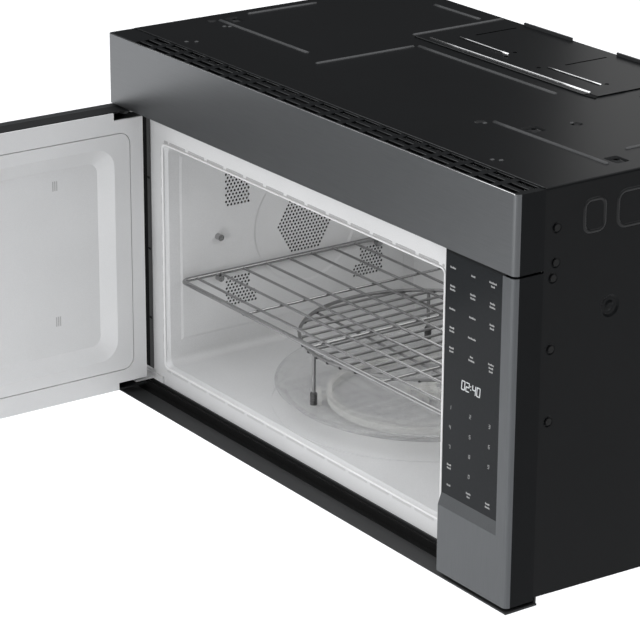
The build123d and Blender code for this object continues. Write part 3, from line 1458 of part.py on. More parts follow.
spring_base_z = door_centre_z + latch_bar_length / 2
spring_top_z = spring_base_z + spring_length
spring_seat_half = 6.0
spring_seat_height = 3.0
latch_bar_half = 6.0
latch_bar_front = front_y + latch_bar_y - latch_bar_half
latch_bar_back = front_y + latch_bar_y + latch_bar_half
guide_play = 0.3
guide_wall_outer = 3.0
guide_offset = 40.0
guide_half_height = 10.0
pin_hole_depth = hinge_pin_length + 1
with BuildPart() as door_frame:
    block(left_x, door_right_x, front_y + skin_return, door_ring_y, door_base_z, door_top_z)
    block(left_x + skin_sheet, door_right_x - skin_sheet, front_y + skin_sheet, front_y + skin_return,
          door_base_z + skin_sheet, door_top_z - skin_sheet)
    block(left_x + skin_sheet + door_wall, door_right_x - skin_sheet - door_wall, web_y + web_thickness,
          door_ring_y + 1, door_base_z + skin_sheet + door_wall, door_top_z - skin_sheet - door_wall,
          mode=Mode.SUBTRACT)
    door_window(front_y, web_y, glass_rebate + seat_gap)
    door_window(front_y, web_y + web_thickness + 1, window_lip)
    for z0, z1 in ((notch_low_z, notch_low_z + hinge_block), (notch_high_z - hinge_block, notch_high_z)):
        block(left_x + door_wall, left_x + hinge_block, web_y, door_ring_y - door_wall, z0, z1)
    for z0, z1 in ((notch_low_z, notch_low_z + notch_wall), (notch_high_z - notch_wall, notch_high_z)):
        block(left_x + skin_sheet, left_x + hinge_notch_x + notch_wall, web_y, door_ring_y, z0, z1)
    for z0, z1 in ((door_base_z + skin_sheet, notch_low_z + notch_wall),
                   (notch_high_z - notch_wall, door_top_z - skin_sheet)):
        block(left_x + hinge_notch_x, left_x + hinge_notch_x + notch_wall, web_y, door_ring_y, z0, z1)
    guide_half = latch_thickness / 2 + guide_wall_outer
    for guide_z0 in (door_centre_z - guide_offset - guide_half_height,
                     door_centre_z + guide_offset - guide_half_height):
        guide_z1 = guide_z0 + 2 * guide_half_height
        block(latch_x - guide_half, latch_x + guide_half, web_y, latch_bar_front - guide_play,
              guide_z0, guide_z1)
        for side in (-1, 1):
            x0, x1 = sorted((latch_x + side * (latch_thickness / 2 + guide_play),
                             latch_x + side * guide_half))
            block(x0, x1, web_y, latch_bar_back, guide_z0, guide_z1)
    block(latch_x - spring_seat_half, latch_x + spring_seat_half, web_y, latch_bar_back,
          spring_top_z, spring_top_z + spring_seat_height)
    for z in handle_post_z:
        rod_y(handle_x, front_y, web_y + web_thickness + 1, z, screw_shank, mode=Mode.SUBTRACT)
    for z0, z1 in ((notch_low_z - 1, notch_low_z + pin_hole_depth),
                   (notch_high_z - pin_hole_depth, notch_high_z + 1)):
        rod_z(hinge_x, hinge_y, z0, z1, hinge_pin_radius + hinge_clearance, mode=Mode.SUBTRACT)
    cut_hinge_notches(hinge_notch_cap)
door_pieces["door_frame"] = door_frame

lip_outer = 10.0
lip_inner = 7.6
lip_thickness = 2.0
lip_outer_z = lip_outer + 7.0
with BuildPart() as choke_cover:
    block(left_x + choke_edge_gap, door_right_x - choke_edge_gap, door_ring_y, door_inner_y,
          door_base_z + choke_edge_gap, door_top_z - choke_edge_gap)
    fillet(choke_cover.edges().filter_by(Axis.Y), edge_radius)
    panel(left_x + choke_ring_x, door_right_x - choke_ring_x, door_base_z + choke_ring_z,
          door_top_z - choke_ring_z, door_ring_y - 1, door_inner_y + 1, panel_corner_radius,
          mode=Mode.SUBTRACT)
    panel(left_x + lip_outer, door_right_x - lip_outer, door_base_z + lip_outer_z,
          door_top_z - lip_outer_z, door_ring_y - lip_thickness, door_ring_y, panel_corner_radius)
    panel(left_x + choke_ring_x + lip_inner, door_right_x - choke_ring_x - lip_inner,
          door_base_z + choke_ring_z + lip_inner, door_top_z - choke_ring_z - lip_inner,
          door_ring_y - lip_thickness - 1, door_ring_y + 1, panel_corner_radius - lip_inner / 2,
          mode=Mode.SUBTRACT)
    latch_slots(door_ring_y - lip_thickness - 1, door_inner_y + 1, barb_z + 1, barb_z + latch_travel + 1)
    cut_hinge_notches(0)
door_pieces["choke_cover"] = choke_cover

recess_sheet = 2.0
with BuildPart() as door_inner_panel:
    edge_x = choke_ring_x + choke_groove
    edge_z = choke_ring_z + choke_groove
    panel(left_x + edge_x, door_right_x - edge_x, door_base_z + edge_z, door_top_z - edge_z,
          door_ring_y, door_inner_y, panel_corner_radius - choke_groove)
    for grow, y_rim, mode in ((recess_sheet, door_ring_y, Mode.ADD), (0, door_inner_y, Mode.SUBTRACT)):
        rim_inset = recess_slope * (door_inner_y - y_rim) / recess_depth
        with BuildSketch(standing(y_rim)):
            with Locations((door_centre_x, door_centre_z)):
                RectangleRounded(door_width - 2 * (recess_inset_x + rim_inset - 2 * grow),
                                 door_height - 2 * (recess_inset_z + rim_inset - 2 * grow),
                                 recess_corner_radius)
        with BuildSketch(standing(door_inner_y - recess_depth - grow)):
            with Locations((door_centre_x, door_centre_z)):
                RectangleRounded(door_width - 2 * (recess_inset_x + recess_slope - grow / 2),
                                 door_height - 2 * (recess_inset_z + recess_slope - grow / 2),
                                 recess_corner_radius / 2)
        loft(mode=mode)
door_pieces["door_inner_panel"] = door_inner_panel

handle_edge_radius = 5.0
with BuildPart() as door_handle:
    bar_back = front_y - handle_standoff
    block(handle_x - handle_width / 2, handle_x + handle_width / 2, bar_back - handle_thickness, bar_back,
          door_centre_z - handle_length / 2, door_centre_z + handle_length / 2)
    fillet(door_handle.edges().filter_by(Axis.Z), handle_edge_radius)
    for z in handle_post_z:
        rod_y(handle_x, bar_back - 1, front_y, z, handle_post_radius)
        rod_y(handle_x, front_y - screw_depth, front_y + 1, z, screw_shank, mode=Mode.SUBTRACT)
door_pieces["door_handle"] = door_handle

with BuildPart() as handle_screws:
    for z in handle_post_z:
        rod_y(handle_x, front_y - screw_depth + 2, web_y + web_thickness, z, screw_shank)
        rod_y(handle_x, web_y + web_thickness, web_y + web_thickness + screw_head, z, screw_head_radius)
door_pieces["handle_screws"] = handle_screws

barb_depth = 5.5
with BuildPart() as latch_hooks:
    hook_tip_y = door_inner_y + latch_hook_reach
    block(latch_x - latch_thickness / 2, latch_x + latch_thickness / 2, latch_bar_front, latch_bar_back,
          door_centre_z - latch_bar_length / 2, door_centre_z + latch_bar_length / 2)
    for z in (latch_low_z, latch_high_z):
        block(latch_x - latch_thickness / 2, latch_x + latch_thickness / 2, latch_bar_back, hook_tip_y,
              z - latch_hook_height / 4, z + latch_hook_height / 2)
        block(latch_x - latch_thickness / 2, latch_x + latch_thickness / 2,
              hook_tip_y - barb_depth, hook_tip_y, z - latch_hook_height / 4 - latch_barb, z)
door_pieces["latch_hooks"] = latch_hooks

with BuildPart() as latch_spring:
    with BuildSketch(level(spring_base_z)):
        with Locations((latch_x, front_y + latch_bar_y)):
            Circle(spring_radius)
            Circle(spring_bore, mode=Mode.SUBTRACT)
    extrude(amount=spring_length)
door_pieces["latch_spring"] = latch_spring

# ================================================================== fixings and cord inlet
# screws of each side: setback and drop below the top
side_screws = ((51, 42.5), (51, 78.5), (48, 94.0), (48, 168.5), (48, 245.5))
side_screw_shank = 1.6
side_screw_head = 3.6
side_screw_rise = 1.2
side_screw_length = 7.0
for side in (-1, 1):
    for screw_setback, screw_drop in side_screws:
        x0, x1 = sorted((side * (width / 2 - 3 * sheet), side * (width / 2 + 1)))
        for threaded in (cabinet_wrap, cavity_front):
            with threaded:
                rod_x(x0, x1, front_y + screw_setback, height - screw_drop, side_screw_shank,
                      mode=Mode.SUBTRACT)
with BuildPart() as cabinet_screws:
    for side in (-1, 1):
        for screw_setback, screw_drop in side_screws:
            x0, x1 = sorted((side * (width / 2 - side_screw_length), side * width / 2))
            rod_x(x0, x1, front_y + screw_setback, height - screw_drop, side_screw_shank)
            x0, x1 = sorted((side * width / 2, side * (width / 2 + side_screw_rise)))
            rod_x(x0, x1, front_y + screw_setback, height - screw_drop, side_screw_head)
pieces["cabinet_screws"] = cabinet_screws

inlet_side_gap = 69.0
inlet_back_gap = 49.0
inlet_neck = 10.0
inlet_flange = 13.0
inlet_rise = 5.0
inlet_bore = 4.5
inlet_depth = 9.0
inlet_x = right_x - inlet_side_gap
inlet_y = back_y - inlet_back_gap
with cabinet_wrap:
    rod_z(inlet_x, inlet_y, height - 2 * sheet, height + 1, inlet_neck, mode=Mode.SUBTRACT)
with BuildPart() as power_inlet:
    rod_z(inlet_x, inlet_y, height, height + inlet_rise, inlet_flange)
    rod_z(inlet_x, inlet_y, height - inlet_depth, height, inlet_neck)
    rod_z(inlet_x, inlet_y, height - inlet_depth - 1, height + inlet_rise + 1, inlet_bore, mode=Mode.SUBTRACT)
pieces["power_inlet"] = power_inlet

for name, piece in pieces.items():
    piece.part.label = name
    export_step(piece.part, f"parts/{name}.step")

for name, piece in door_pieces.items():
    opened = swung(piece.part)
    opened.label = name
    export_step(opened, f"parts/{name}.step")

standing_rack = round_rack.part.moved(Location((turntable_x, turntable_y, round_rack_z)))
standing_rack.label = "round_rack"
export_step(standing_rack, "parts/round_rack.step")
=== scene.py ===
"""Over-the-range microwave oven with its door swung open, dressed for its pictures.

Everything is in the part's own frame, in metres: X to the right seen from the front, Y towards
the wall, Z up, with the wall at Y = 0 and the underside of the front sill at Z = 0.
Sizes of the dressed pieces are written in millimetres and turned into metres where they are used.
"""

import logging
import math
from dataclasses import dataclass, field
from enum import Enum
from typing import Callable, Iterable, NamedTuple, Sequence

import bmesh
import bpy
from mathutils import Matrix, Vector
from mathutils.geometry import delaunay_2d_cdt
from mathutils.kdtree import KDTree

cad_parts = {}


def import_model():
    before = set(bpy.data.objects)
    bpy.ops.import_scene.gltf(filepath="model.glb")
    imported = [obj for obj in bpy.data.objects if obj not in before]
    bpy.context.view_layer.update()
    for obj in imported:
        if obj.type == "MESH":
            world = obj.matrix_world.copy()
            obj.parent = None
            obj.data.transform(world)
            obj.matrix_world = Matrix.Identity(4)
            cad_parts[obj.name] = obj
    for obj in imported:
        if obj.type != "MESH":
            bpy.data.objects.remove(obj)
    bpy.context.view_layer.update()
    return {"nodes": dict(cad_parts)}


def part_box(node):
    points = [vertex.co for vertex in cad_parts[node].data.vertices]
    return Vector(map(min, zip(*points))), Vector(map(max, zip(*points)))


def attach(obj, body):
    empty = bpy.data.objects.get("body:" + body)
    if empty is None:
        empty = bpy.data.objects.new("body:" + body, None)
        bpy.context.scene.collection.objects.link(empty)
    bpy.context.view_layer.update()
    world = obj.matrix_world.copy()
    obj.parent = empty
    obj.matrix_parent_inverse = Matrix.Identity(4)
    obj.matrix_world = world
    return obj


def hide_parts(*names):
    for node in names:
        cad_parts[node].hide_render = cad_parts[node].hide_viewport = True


LOG = logging.getLogger("microwave")
MM = 0.001

Colour = tuple[float, float, float]
Point = tuple[float, float]
Loop = list[Point]
Lay = Callable[[float, float, float], Vector]
Tree = bpy.types.NodeTree
Socket = bpy.types.NodeSocket


# ---------------------------------------------------------------------- finishes
class Grain(Enum):
    """How the small variation of a finish lies on its surface."""

    SPECKLE = "even speckle, as paint, mouldings and castings have"
    BRUSHED_X = "fine lines along the width"
    BRUSHED_Z = "fine lines along the height"
    SPANGLE = "flat crystals of hot-dip zinc"
    WOVEN = "crossed wires of a mesh"
    STACKED = "edges of stacked sheets"


@dataclass(frozen=True)
class Finish:
    """One surface finish, made from procedural nodes only.

    Attributes:
        name: name of the material, which is not the name of any slot.
        slot: material slot of the record that the finish stands for; not used.
        light: colour of the lighter part of the surface.
        dark: colour of the darker part of the surface.
        rough: roughness at its middle.
        spread: how far the roughness varies, up and down together.
        metal: 1 for bare metal and 0 for the rest.
        grain: how the variation lies.
        size: size of one grain, in millimetres.
        relief: depth of the grain, in millimetres.
        blotch: size of the slow change of tone, in millimetres.
        specular: level of the reflection of a surface that is not metal.
        clear: share of light that goes through, for glass.
        coat: strength of a clear layer on top.
        cover: share of the surface that hides what lies behind it.
    """

    name: str
    slot: str
    light: Colour
    dark: Colour
    rough: float = 0.45
    spread: float = 0.08
    metal: float = 0.0
    grain: Grain = Grain.SPECKLE
    size: float = 1.2
    relief: float = 0.02
    blotch: float = 60.0
    specular: float = 0.4
    clear: float = 0.0
    coat: float = 0.0
    cover: float = 1.0

    BLOTCH_SHARE = 0.45
    DARK_BELOW = 0.45
    LIGHT_ABOVE = 0.95
    SMOOTHEST = 0.02
    COAT_ROUGHNESS = 0.08
    BRUSH_STRETCH = 90
    ONE_WAVE = 0.314

    def material(self) -> bpy.types.Material:
        """The material of this finish, made the first time that it is asked for.

        Returns:
            The material, shared by every piece that has the finish.
        """
        found = bpy.data.materials.get(self.name)
        if found:
            return found
        made = bpy.data.materials.new(self.name)
        made.use_nodes = True
        made.diffuse_color = (*self.light, 1.0)
        tree = made.node_tree
        shader = tree.nodes["Principled BSDF"]
        fine = self._grain_value(tree)
        self._colour(tree, shader, fine)
        self._surface(tree, shader, fine)
        for socket, value in (("Metallic", self.metal), ("Specular IOR Level", self.specular),
                              ("Transmission Weight", self.clear), ("Coat Weight", self.coat),
                              ("Coat Roughness", self.COAT_ROUGHNESS), ("Alpha", self.cover)):
            shader.inputs[socket].default_value = value
        return made

    def _colour(self, tree: Tree, shader: bpy.types.Node, fine: Socket) -> None:
        """Lets the colour follow the grain and the slow blotches.

        Args:
            tree: node tree of the material.
            shader: its shader.
            fine: the fine variation.
        """
        slow = self._noise(tree, (1 / (self.blotch * MM),) * 3, detail=3.0)
        tone = self._add(tree, "ShaderNodeMath", operation="MULTIPLY_ADD")
        tone.inputs[1].default_value = self.BLOTCH_SHARE
        tree.links.new(slow, tone.inputs[0])
        tree.links.new(fine, tone.inputs[2])
        ramp = self._add(tree, "ShaderNodeValToRGB")
        ends = ((self.DARK_BELOW, self.dark), (self.LIGHT_ABOVE, self.light))
        for stop, (position, colour) in zip(ramp.color_ramp.elements, ends):
            stop.position = position
            stop.color = (*colour, 1.0)
        tree.links.new(tone.outputs[0], ramp.inputs[0])
        tree.links.new(ramp.outputs[0], shader.inputs["Base Color"])

    def _surface(self, tree: Tree, shader: bpy.types.Node, fine: Socket) -> None:
        """Lets roughness and relief follow the grain.

        Args:
            tree: node tree of the material.
            shader: its shader.
            fine: the fine variation.
        """
        span = self._add(tree, "ShaderNodeMapRange")
        span.inputs["To Min"].default_value = max(self.rough - self.spread, self.SMOOTHEST)
        span.inputs["To Max"].default_value = min(self.rough + self.spread, 1.0)
        tree.links.new(fine, span.inputs["Value"])
        tree.links.new(span.outputs["Result"], shader.inputs["Roughness"])
        bump = self._add(tree, "ShaderNodeBump")
        bump.inputs["Strength"].default_value = 1.0
        bump.inputs["Distance"].default_value = self.relief * MM
        tree.links.new(fine, bump.inputs["Height"])
        tree.links.new(bump.outputs["Normal"], shader.inputs["Normal"])

    @staticmethod
    def _add(tree: Tree, kind: str, **settings: object) -> bpy.types.Node:
        """Adds a node to the tree.

        Args:
            tree: node tree of the material.
            kind: Blender's name of the node's kind.
            settings: named settings of the node.

        Returns:
            The new node.
        """
        node = tree.nodes.new(kind)
        for key, value in settings.items():
            setattr(node, key, value)
        return node

    def _mapped(self, tree: Tree, scale: Sequence[float]) -> Socket:
        """Scales the object's own coordinates.

        Args:
            tree: node tree of the material.
            scale: cells per metre along each axis.

        Returns:
            The scaled coordinates.
        """
        place = self._add(tree, "ShaderNodeTexCoord")
        mapping = self._add(tree, "ShaderNodeMapping")
        mapping.inputs["Scale"].default_value = scale
        tree.links.new(place.outputs["Object"], mapping.inputs["Vector"])
        return mapping.outputs["Vector"]

    def _noise(self, tree: Tree, scale: Sequence[float], detail: float) -> Socket:
        """Makes soft noise.

        Args:
            tree: node tree of the material.
            scale: cells per metre along each axis.
            detail: number of finer layers on top.

        Returns:
            The noise, from 0 to 1.
        """
        noise = self._add(tree, "ShaderNodeTexNoise")
        noise.inputs["Scale"].default_value = 1.0
        noise.inputs["Detail"].default_value = detail
        tree.links.new(self._mapped(tree, scale), noise.inputs["Vector"])
        return noise.outputs[0]

    def _grain_value(self, tree: Tree) -> Socket:
        """Makes the fine variation that colour, roughness and relief all follow.

        Args:
            tree: node tree of the material.

        Returns:
            The variation, from 0 to 1.
        """
        fine = 1 / (self.size * MM)
        if self.grain is Grain.BRUSHED_X:
            return self._noise(tree, (fine / self.BRUSH_STRETCH, fine, fine), detail=4.0)
        if self.grain is Grain.BRUSHED_Z:
            return self._noise(tree, (fine, fine, fine / self.BRUSH_STRETCH), detail=4.0)
        if self.grain is Grain.SPANGLE:
            cells = self._add(tree, "ShaderNodeTexVoronoi")
            cells.inputs["Scale"].default_value = 1.0
            tree.links.new(self._mapped(tree, (fine,) * 3), cells.inputs["Vector"])
            tone = self._add(tree, "ShaderNodeRGBToBW")
            tree.links.new(cells.outputs["Color"], tone.inputs[0])
            return tone.outputs[0]
        if self.grain is Grain.WOVEN:
            higher = self._add(tree, "ShaderNodeMath", operation="MAXIMUM")
            tree.links.new(self._wave(tree, fine, "X"), higher.inputs[0])
            tree.links.new(self._wave(tree, fine, "Y"), higher.inputs[1])
            return higher.outputs[0]
        if self.grain is Grain.STACKED:
            return self._wave(tree, fine, "Z")
        return self._noise(tree, (fine,) * 3, detail=2.0)

    def _wave(self, tree: Tree, per_metre: float, axis: str) -> Socket:
        """Makes even ridges across one axis.

        Args:
            tree: node tree of the material.
            per_metre: ridges per metre.
            axis: X, Y or Z.

        Returns:
            The ridges, from 0 to 1.
        """
        wave = self._add(tree, "ShaderNodeTexWave", bands_direction=axis)
        wave.inputs["Scale"].default_value = self.ONE_WAVE
        tree.links.new(self._mapped(tree, (per_metre,) * 3), wave.inputs["Vector"])
        return wave.outputs[1]


def grey(value: float, blue: float = 0.0) -> Colour:
    """A grey of that brightness, cooler by the given share of blue."""
    return (value * (1 - blue), value, value * (1 + blue))


BLACK_STEEL = Finish(
    "tinted_steel", "black_steel", grey(0.12, 0.03), grey(0.098, 0.03), rough=0.36, spread=0.04,
    metal=1.0, grain=Grain.BRUSHED_X, size=0.35, relief=0.003, blotch=200.0)
BLACK_STEEL_UPRIGHT = Finish(
    "tinted_steel_upright", "black_steel", grey(0.108, 0.04), grey(0.086, 0.04), rough=0.36,
    spread=0.05, metal=1.0, grain=Grain.BRUSHED_Z, size=0.35, relief=0.004, blotch=200.0)
BLACK_PAINT = Finish(
    "satin_black_paint", "black_painted_sheet", grey(0.0075, 0.06), grey(0.0055, 0.06), rough=0.3,
    spread=0.04, size=0.8, relief=0.005, blotch=120.0, specular=0.07)
# Painted highlight: a lighter copy of the black paint for beads, dimples, edges, lips and slot
# lines.
PAINTED_HIGHLIGHT_BLACK = Finish(
    "painted_highlight_black", "black_painted_sheet", grey(0.04, 0.03), grey(0.028, 0.03), rough=0.4,
    spread=0.05, size=0.8, relief=0.006, specular=0.3)
# Painted highlight: a lighter, glossier copy of the black paint for the raised frames on the sides.
FRAME_HIGHLIGHT_PAINT = Finish(
    "painted_highlight_frame", "black_painted_sheet", grey(0.013, 0.03), grey(0.009, 0.03), rough=0.34,
    spread=0.05, size=0.8, relief=0.006, specular=0.18)
# Painted light: a lighter copy of the black paint on the sill, whose ledge catches light from the
# oven.
LIT_SILL_PAINT = Finish(
    "lit_sill_paint", "black_painted_sheet", grey(0.03, 0.02), grey(0.024, 0.02), spread=0.05, size=0.8,
    relief=0.006, blotch=90.0, specular=0.15)
ENAMEL = Finish(
    "oven_enamel", "white_enamel", grey(0.64, 0.004), grey(0.55, 0.004), rough=0.32, spread=0.05,
    size=0.9, relief=0.006, blotch=90.0, specular=0.45, coat=0.15)
# Painted shade: darker copies of the enamel for seam tabs and moulded marks; the lighter one is for
# the lower, less shaded row.
ENAMEL_SHADE = Finish(
    "enamel_seam_shade", "white_enamel", grey(0.4), grey(0.34), rough=0.4, spread=0.05, size=0.9,
    relief=0.006, blotch=40.0)
ENAMEL_LIGHT_SHADE = Finish(
    "enamel_seam_light_shade", "white_enamel", grey(0.52), grey(0.47), rough=0.4, spread=0.05, size=0.9,
    relief=0.006, blotch=40.0)
HALF_SHADE = Finish(
    "half_shade", "black_plastic", grey(0.09), grey(0.07), rough=0.6, spread=0.05, size=0.8,
    relief=0.01, blotch=20.0, specular=0.2)
RACK_FOOT = Finish(
    "rack_foot", "rack_steel", grey(0.1), grey(0.07), rough=0.4, spread=0.06, metal=0.6, size=0.5,
    relief=0.006, blotch=10.0)
ROUND_RACK_WIRE = Finish(
    "round_rack_wire", "rack_steel", grey(0.24), grey(0.17), rough=0.42, spread=0.06, metal=0.8,
    size=0.5, relief=0.006, blotch=25.0)
# Painted highlight: a lighter, glossier copy of the enamel for the rolled rim round the opening.
ENAMEL_RIM_HIGHLIGHT = Finish(
    "enamel_rim_highlight", "white_enamel", grey(0.7), grey(0.64), rough=0.3, spread=0.04, size=0.9,
    relief=0.004, blotch=40.0, specular=0.6)
LIGHT_MOULDING = Finish(
    "light_moulding", "light_plastic", grey(0.62, 0.004), grey(0.56, 0.004), rough=0.42,
    spread=0.05, size=0.6, relief=0.01, blotch=80.0)
ZINC_SHEET = Finish(
    "zinc_sheet", "galvanised", grey(0.56, 0.02), grey(0.47, 0.03), spread=0.05, metal=1.0,
    grain=Grain.SPANGLE, size=6.0, relief=0.002, blotch=90.0)
HINGE_PLATE = Finish(
    "hinge_plate", "zinc_plate", grey(0.62), grey(0.54), rough=0.4, spread=0.06, size=0.7,
    relief=0.005, blotch=20.0)
STUD_STEEL = Finish(
    "stud_steel", "white_plastic", grey(0.5), grey(0.4), rough=0.22, spread=0.06, metal=1.0,
    size=0.7, relief=0.004, blotch=8.0)
PLAIN_ALUMINIUM = Finish(
    "plain_aluminium", "aluminium", grey(0.78, 0.01), grey(0.6, 0.01), rough=0.36, metal=1.0,
    grain=Grain.BRUSHED_X, size=0.5, relief=0.005)
FILTER_MESH = Finish(
    "filter_mesh", "aluminium", grey(0.72), grey(0.25), rough=0.38, spread=0.12, metal=1.0,
    grain=Grain.WOVEN, size=2.6, relief=0.5)
RACK_WIRE = Finish(
    "rack_wire", "rack_steel", grey(0.42), grey(0.3), rough=0.24, spread=0.06, metal=1.0, size=0.5,
    relief=0.006, blotch=25.0)
HEATED_STEEL = Finish(
    "heated_steel", "heater_steel", (0.34, 0.31, 0.28), (0.22, 0.19, 0.17), rough=0.5, spread=0.1,
    metal=1.0, size=2.0, relief=0.01, blotch=20.0)
# Painted shade: the convection housing and fan are nearly black so that the wall's holes look dark.
SHADE_STEEL = Finish(
    "painted_shade_steel", "galvanised", (0.02, 0.019, 0.018), (0.01, 0.009, 0.008), rough=0.7, spread=0.1,
    metal=0.3, size=3.0, blotch=40.0, specular=0.2)
LAMINATION = Finish(
    "varnished_laminations", "lamination", (0.2, 0.18, 0.16), (0.08, 0.07, 0.06), rough=0.5,
    spread=0.1, metal=0.4, grain=Grain.STACKED, relief=0.12, blotch=30.0)
SCREW_PAINTED = Finish(
    "painted_screw", "black_screw", grey(0.01), grey(0.007), size=0.5, relief=0.01, blotch=6.0,
    specular=0.12)
SCREW_BLACK = Finish(
    "blackened_screw", "black_screw", grey(0.05), grey(0.03), rough=0.38, metal=0.6, size=0.5,
    relief=0.01, blotch=6.0)
BLACK_MOULDING = Finish(
    "black_moulding", "black_plastic", grey(0.012, 0.04), grey(0.008, 0.04), rough=0.5, spread=0.06,
    size=0.5, relief=0.015, specular=0.14)
LOUVRE_BLACK = Finish(
    "louvre_black", "black_plastic", grey(0.006, 0.1), grey(0.004, 0.1), rough=0.42, spread=0.05,
    size=0.5, relief=0.01, specular=0.06)
GREY_MOULDING = Finish(
    "grey_moulding", "grey_plastic", grey(0.3), grey(0.24), rough=0.5, spread=0.06, size=0.6,
    relief=0.015, blotch=40.0)
WHITE_MOULDING = Finish(
    "white_moulding", "white_plastic", (0.8, 0.8, 0.77), (0.7, 0.7, 0.67), rough=0.42, spread=0.06,
    size=0.6, relief=0.012, blotch=30.0)
CHARCOAL = Finish(
    "charcoal_pad", "charcoal", grey(0.02), grey(0.008), rough=0.9, spread=0.05, size=3.0,
    relief=0.8, blotch=30.0, specular=0.1)
BOARD = Finish(
    "board_laminate", "circuit_board", (0.05, 0.2, 0.09), (0.02, 0.1, 0.04), rough=0.35, spread=0.1,
    size=2.4, relief=0.03, blotch=20.0, specular=0.5)
MICA = Finish(
    "mica_sheet", "mica", (0.6, 0.54, 0.43), (0.45, 0.39, 0.3), rough=0.4, spread=0.1, size=4.0,
    blotch=20.0, specular=0.5)
CLEAR_GLASS = Finish(
    "tray_glass", "clear_glass", grey(0.86, 0.004), grey(0.82, 0.004), rough=0.04, spread=0.01,
    size=6.0, relief=0.005, specular=0.35, clear=0.97, cover=0.4)
BLACK_GLASS = Finish(
    "panel_glass", "black_glass", grey(0.012, 0.12), grey(0.009, 0.12), rough=0.16, spread=0.03,
    size=3.0, relief=0.002, blotch=90.0, specular=0.08)
KEY_PRINT = Finish(
    "key_print", "white_plastic", grey(0.32), grey(0.27), rough=0.5, spread=0.05, size=0.4,
    relief=0.002, blotch=10.0)
LIT_DIGITS = Finish(
    "lit_digits", "white_plastic", grey(0.62, 0.02), grey(0.56, 0.02), rough=0.5, spread=0.05,
    size=0.4, relief=0.002, blotch=10.0)
# Painted highlight: bright bare metal laid along edges and beads where light catches them.
EDGE_HIGHLIGHT = Finish(
    "painted_highlight_edge", "zinc_plate", grey(0.85), grey(0.6), rough=0.25, spread=0.06, metal=1.0,
    grain=Grain.BRUSHED_X, size=0.4, relief=0.004, blotch=30.0)
# Painted shadow: near-black plates laid where gaps, slots and the back of the sill lie in shade.
DEEP_SHADOW = Finish(
    "painted_deep_shadow", "black_plastic", grey(0.006), grey(0.004), rough=0.8, spread=0.05, size=0.8,
    relief=0.01, blotch=20.0, specular=0.1)

NODE_FINISHES: dict[Finish, tuple[str, ...]] = {
    BLACK_STEEL: ("trim_face", "door_skin"),
    BLACK_STEEL_UPRIGHT: ("control_fascia", "door_handle"),
    BLACK_PAINT: ("cabinet_wrap", "base_pan", "exhaust_plate"),
    LIT_SILL_PAINT: ("front_sill",),
    ENAMEL: ("cavity_front", "cavity_wrap", "cavity_side_left"),
    LIGHT_MOULDING: ("choke_cover", "door_inner_panel"),
    ZINC_SHEET: ("back_plate", "wall_plate", "waveguide", "convection_motor", "blower_housing",
                 "turntable_motor", "cooktop_lamps"),
    SHADE_STEEL: ("convection_housing", "convection_fan"),
    HINGE_PLATE: ("hinge_brackets",),
    STUD_STEEL: ("rack_studs",),
    PLAIN_ALUMINIUM: ("magnetron", "capacitor", "grease_filter_left", "grease_filter_right"),
    RACK_WIRE: ("wire_rack",),
    ROUND_RACK_WIRE: ("round_rack",),
    HEATED_STEEL: ("convection_heater", "latch_spring"),
    LAMINATION: ("transformer", "blower_motor", "cooling_motor"),
    SCREW_PAINTED: ("cabinet_screws",),
    SCREW_BLACK: ("handle_screws",),
    LOUVRE_BLACK: ("vent_louvre", "control_housing"),
    BLACK_MOULDING: ("power_inlet", "blower_wheels", "cooling_shroud", "cooling_fan",
                     "door_switches", "door_frame"),
    GREY_MOULDING: ("latch_board", "latch_hooks"),
    WHITE_MOULDING: ("turntable_coupler", "roller_ring", "roller_1", "roller_2", "roller_3",
                     "interlock_lever"),
    CHARCOAL: ("charcoal_filter",),
    BOARD: ("display_board",),
    MICA: ("waveguide_cover",),
    CLEAR_GLASS: ("glass_tray", "lamp_lenses"),
    BLACK_GLASS: ("touch_glass", "door_glass"),
}


# ---------------------------------------------------------------------- outlines and places
def closed(points: Iterable[Point]) -> Loop:
    """The points as a loop, with its end joined to its start."""
    return [(float(u), float(v)) for u, v in points]


def circle_loop(u: float, v: float, radius: float, steps: int = 20, turn: float = 0.0) -> Loop:
    """Points round a circle."""
    return closed((u + radius * math.cos(turn + 2 * math.pi * k / steps),
                   v + radius * math.sin(turn + 2 * math.pi * k / steps)) for k in range(steps))


def slot_loop(start: Point, end: Point, width: float, steps: int = 6) -> Loop:
    """Points round a straight slot with round ends.

    Args:
        start: middle of the first round end.
        end: middle of the other round end.
        width: width of the slot.
        steps: runs in each round end.

    Returns:
        The closed loop.
    """
    along = math.atan2(end[1] - start[1], end[0] - start[0])
    radius = width / 2
    points = []
    for centre, first in ((start, along + math.pi / 2), (end, along - math.pi / 2)):
        for k in range(steps + 1):
            angle = first + math.pi * k / steps
            points.append((centre[0] + radius * math.cos(angle),
                           centre[1] + radius * math.sin(angle)))
    return closed(points)


def rounded_loop(u0: float, u1: float, v0: float, v1: float, radius: float, steps: int = 4) -> Loop:
    """Points round a rectangle with rounded corners.

    Args:
        u0: lowest u.
        u1: highest u.
        v0: lowest v.
        v1: highest v.
        radius: radius of the corners, at least 0.2.
        steps: runs in each corner.

    Returns:
        The closed loop.
    """
    radius = max(radius, 0.2)
    corners = ((u1 - radius, v1 - radius, 0), (u0 + radius, v1 - radius, 1),
               (u0 + radius, v0 + radius, 2), (u1 - radius, v0 + radius, 3))
    points = []
    for u, v, quarter in corners:
        for k in range(steps + 1):
            angle = math.pi / 2 * (quarter + k / steps)
            points.append((u + radius * math.cos(angle), v + radius * math.sin(angle)))
    return closed(points)


def box_loop(u0: float, u1: float, v0: float, v1: float) -> Loop:
    """The four corners of a rectangle."""
    return closed([(u0, v0), (u1, v0), (u1, v1), (u0, v1)])


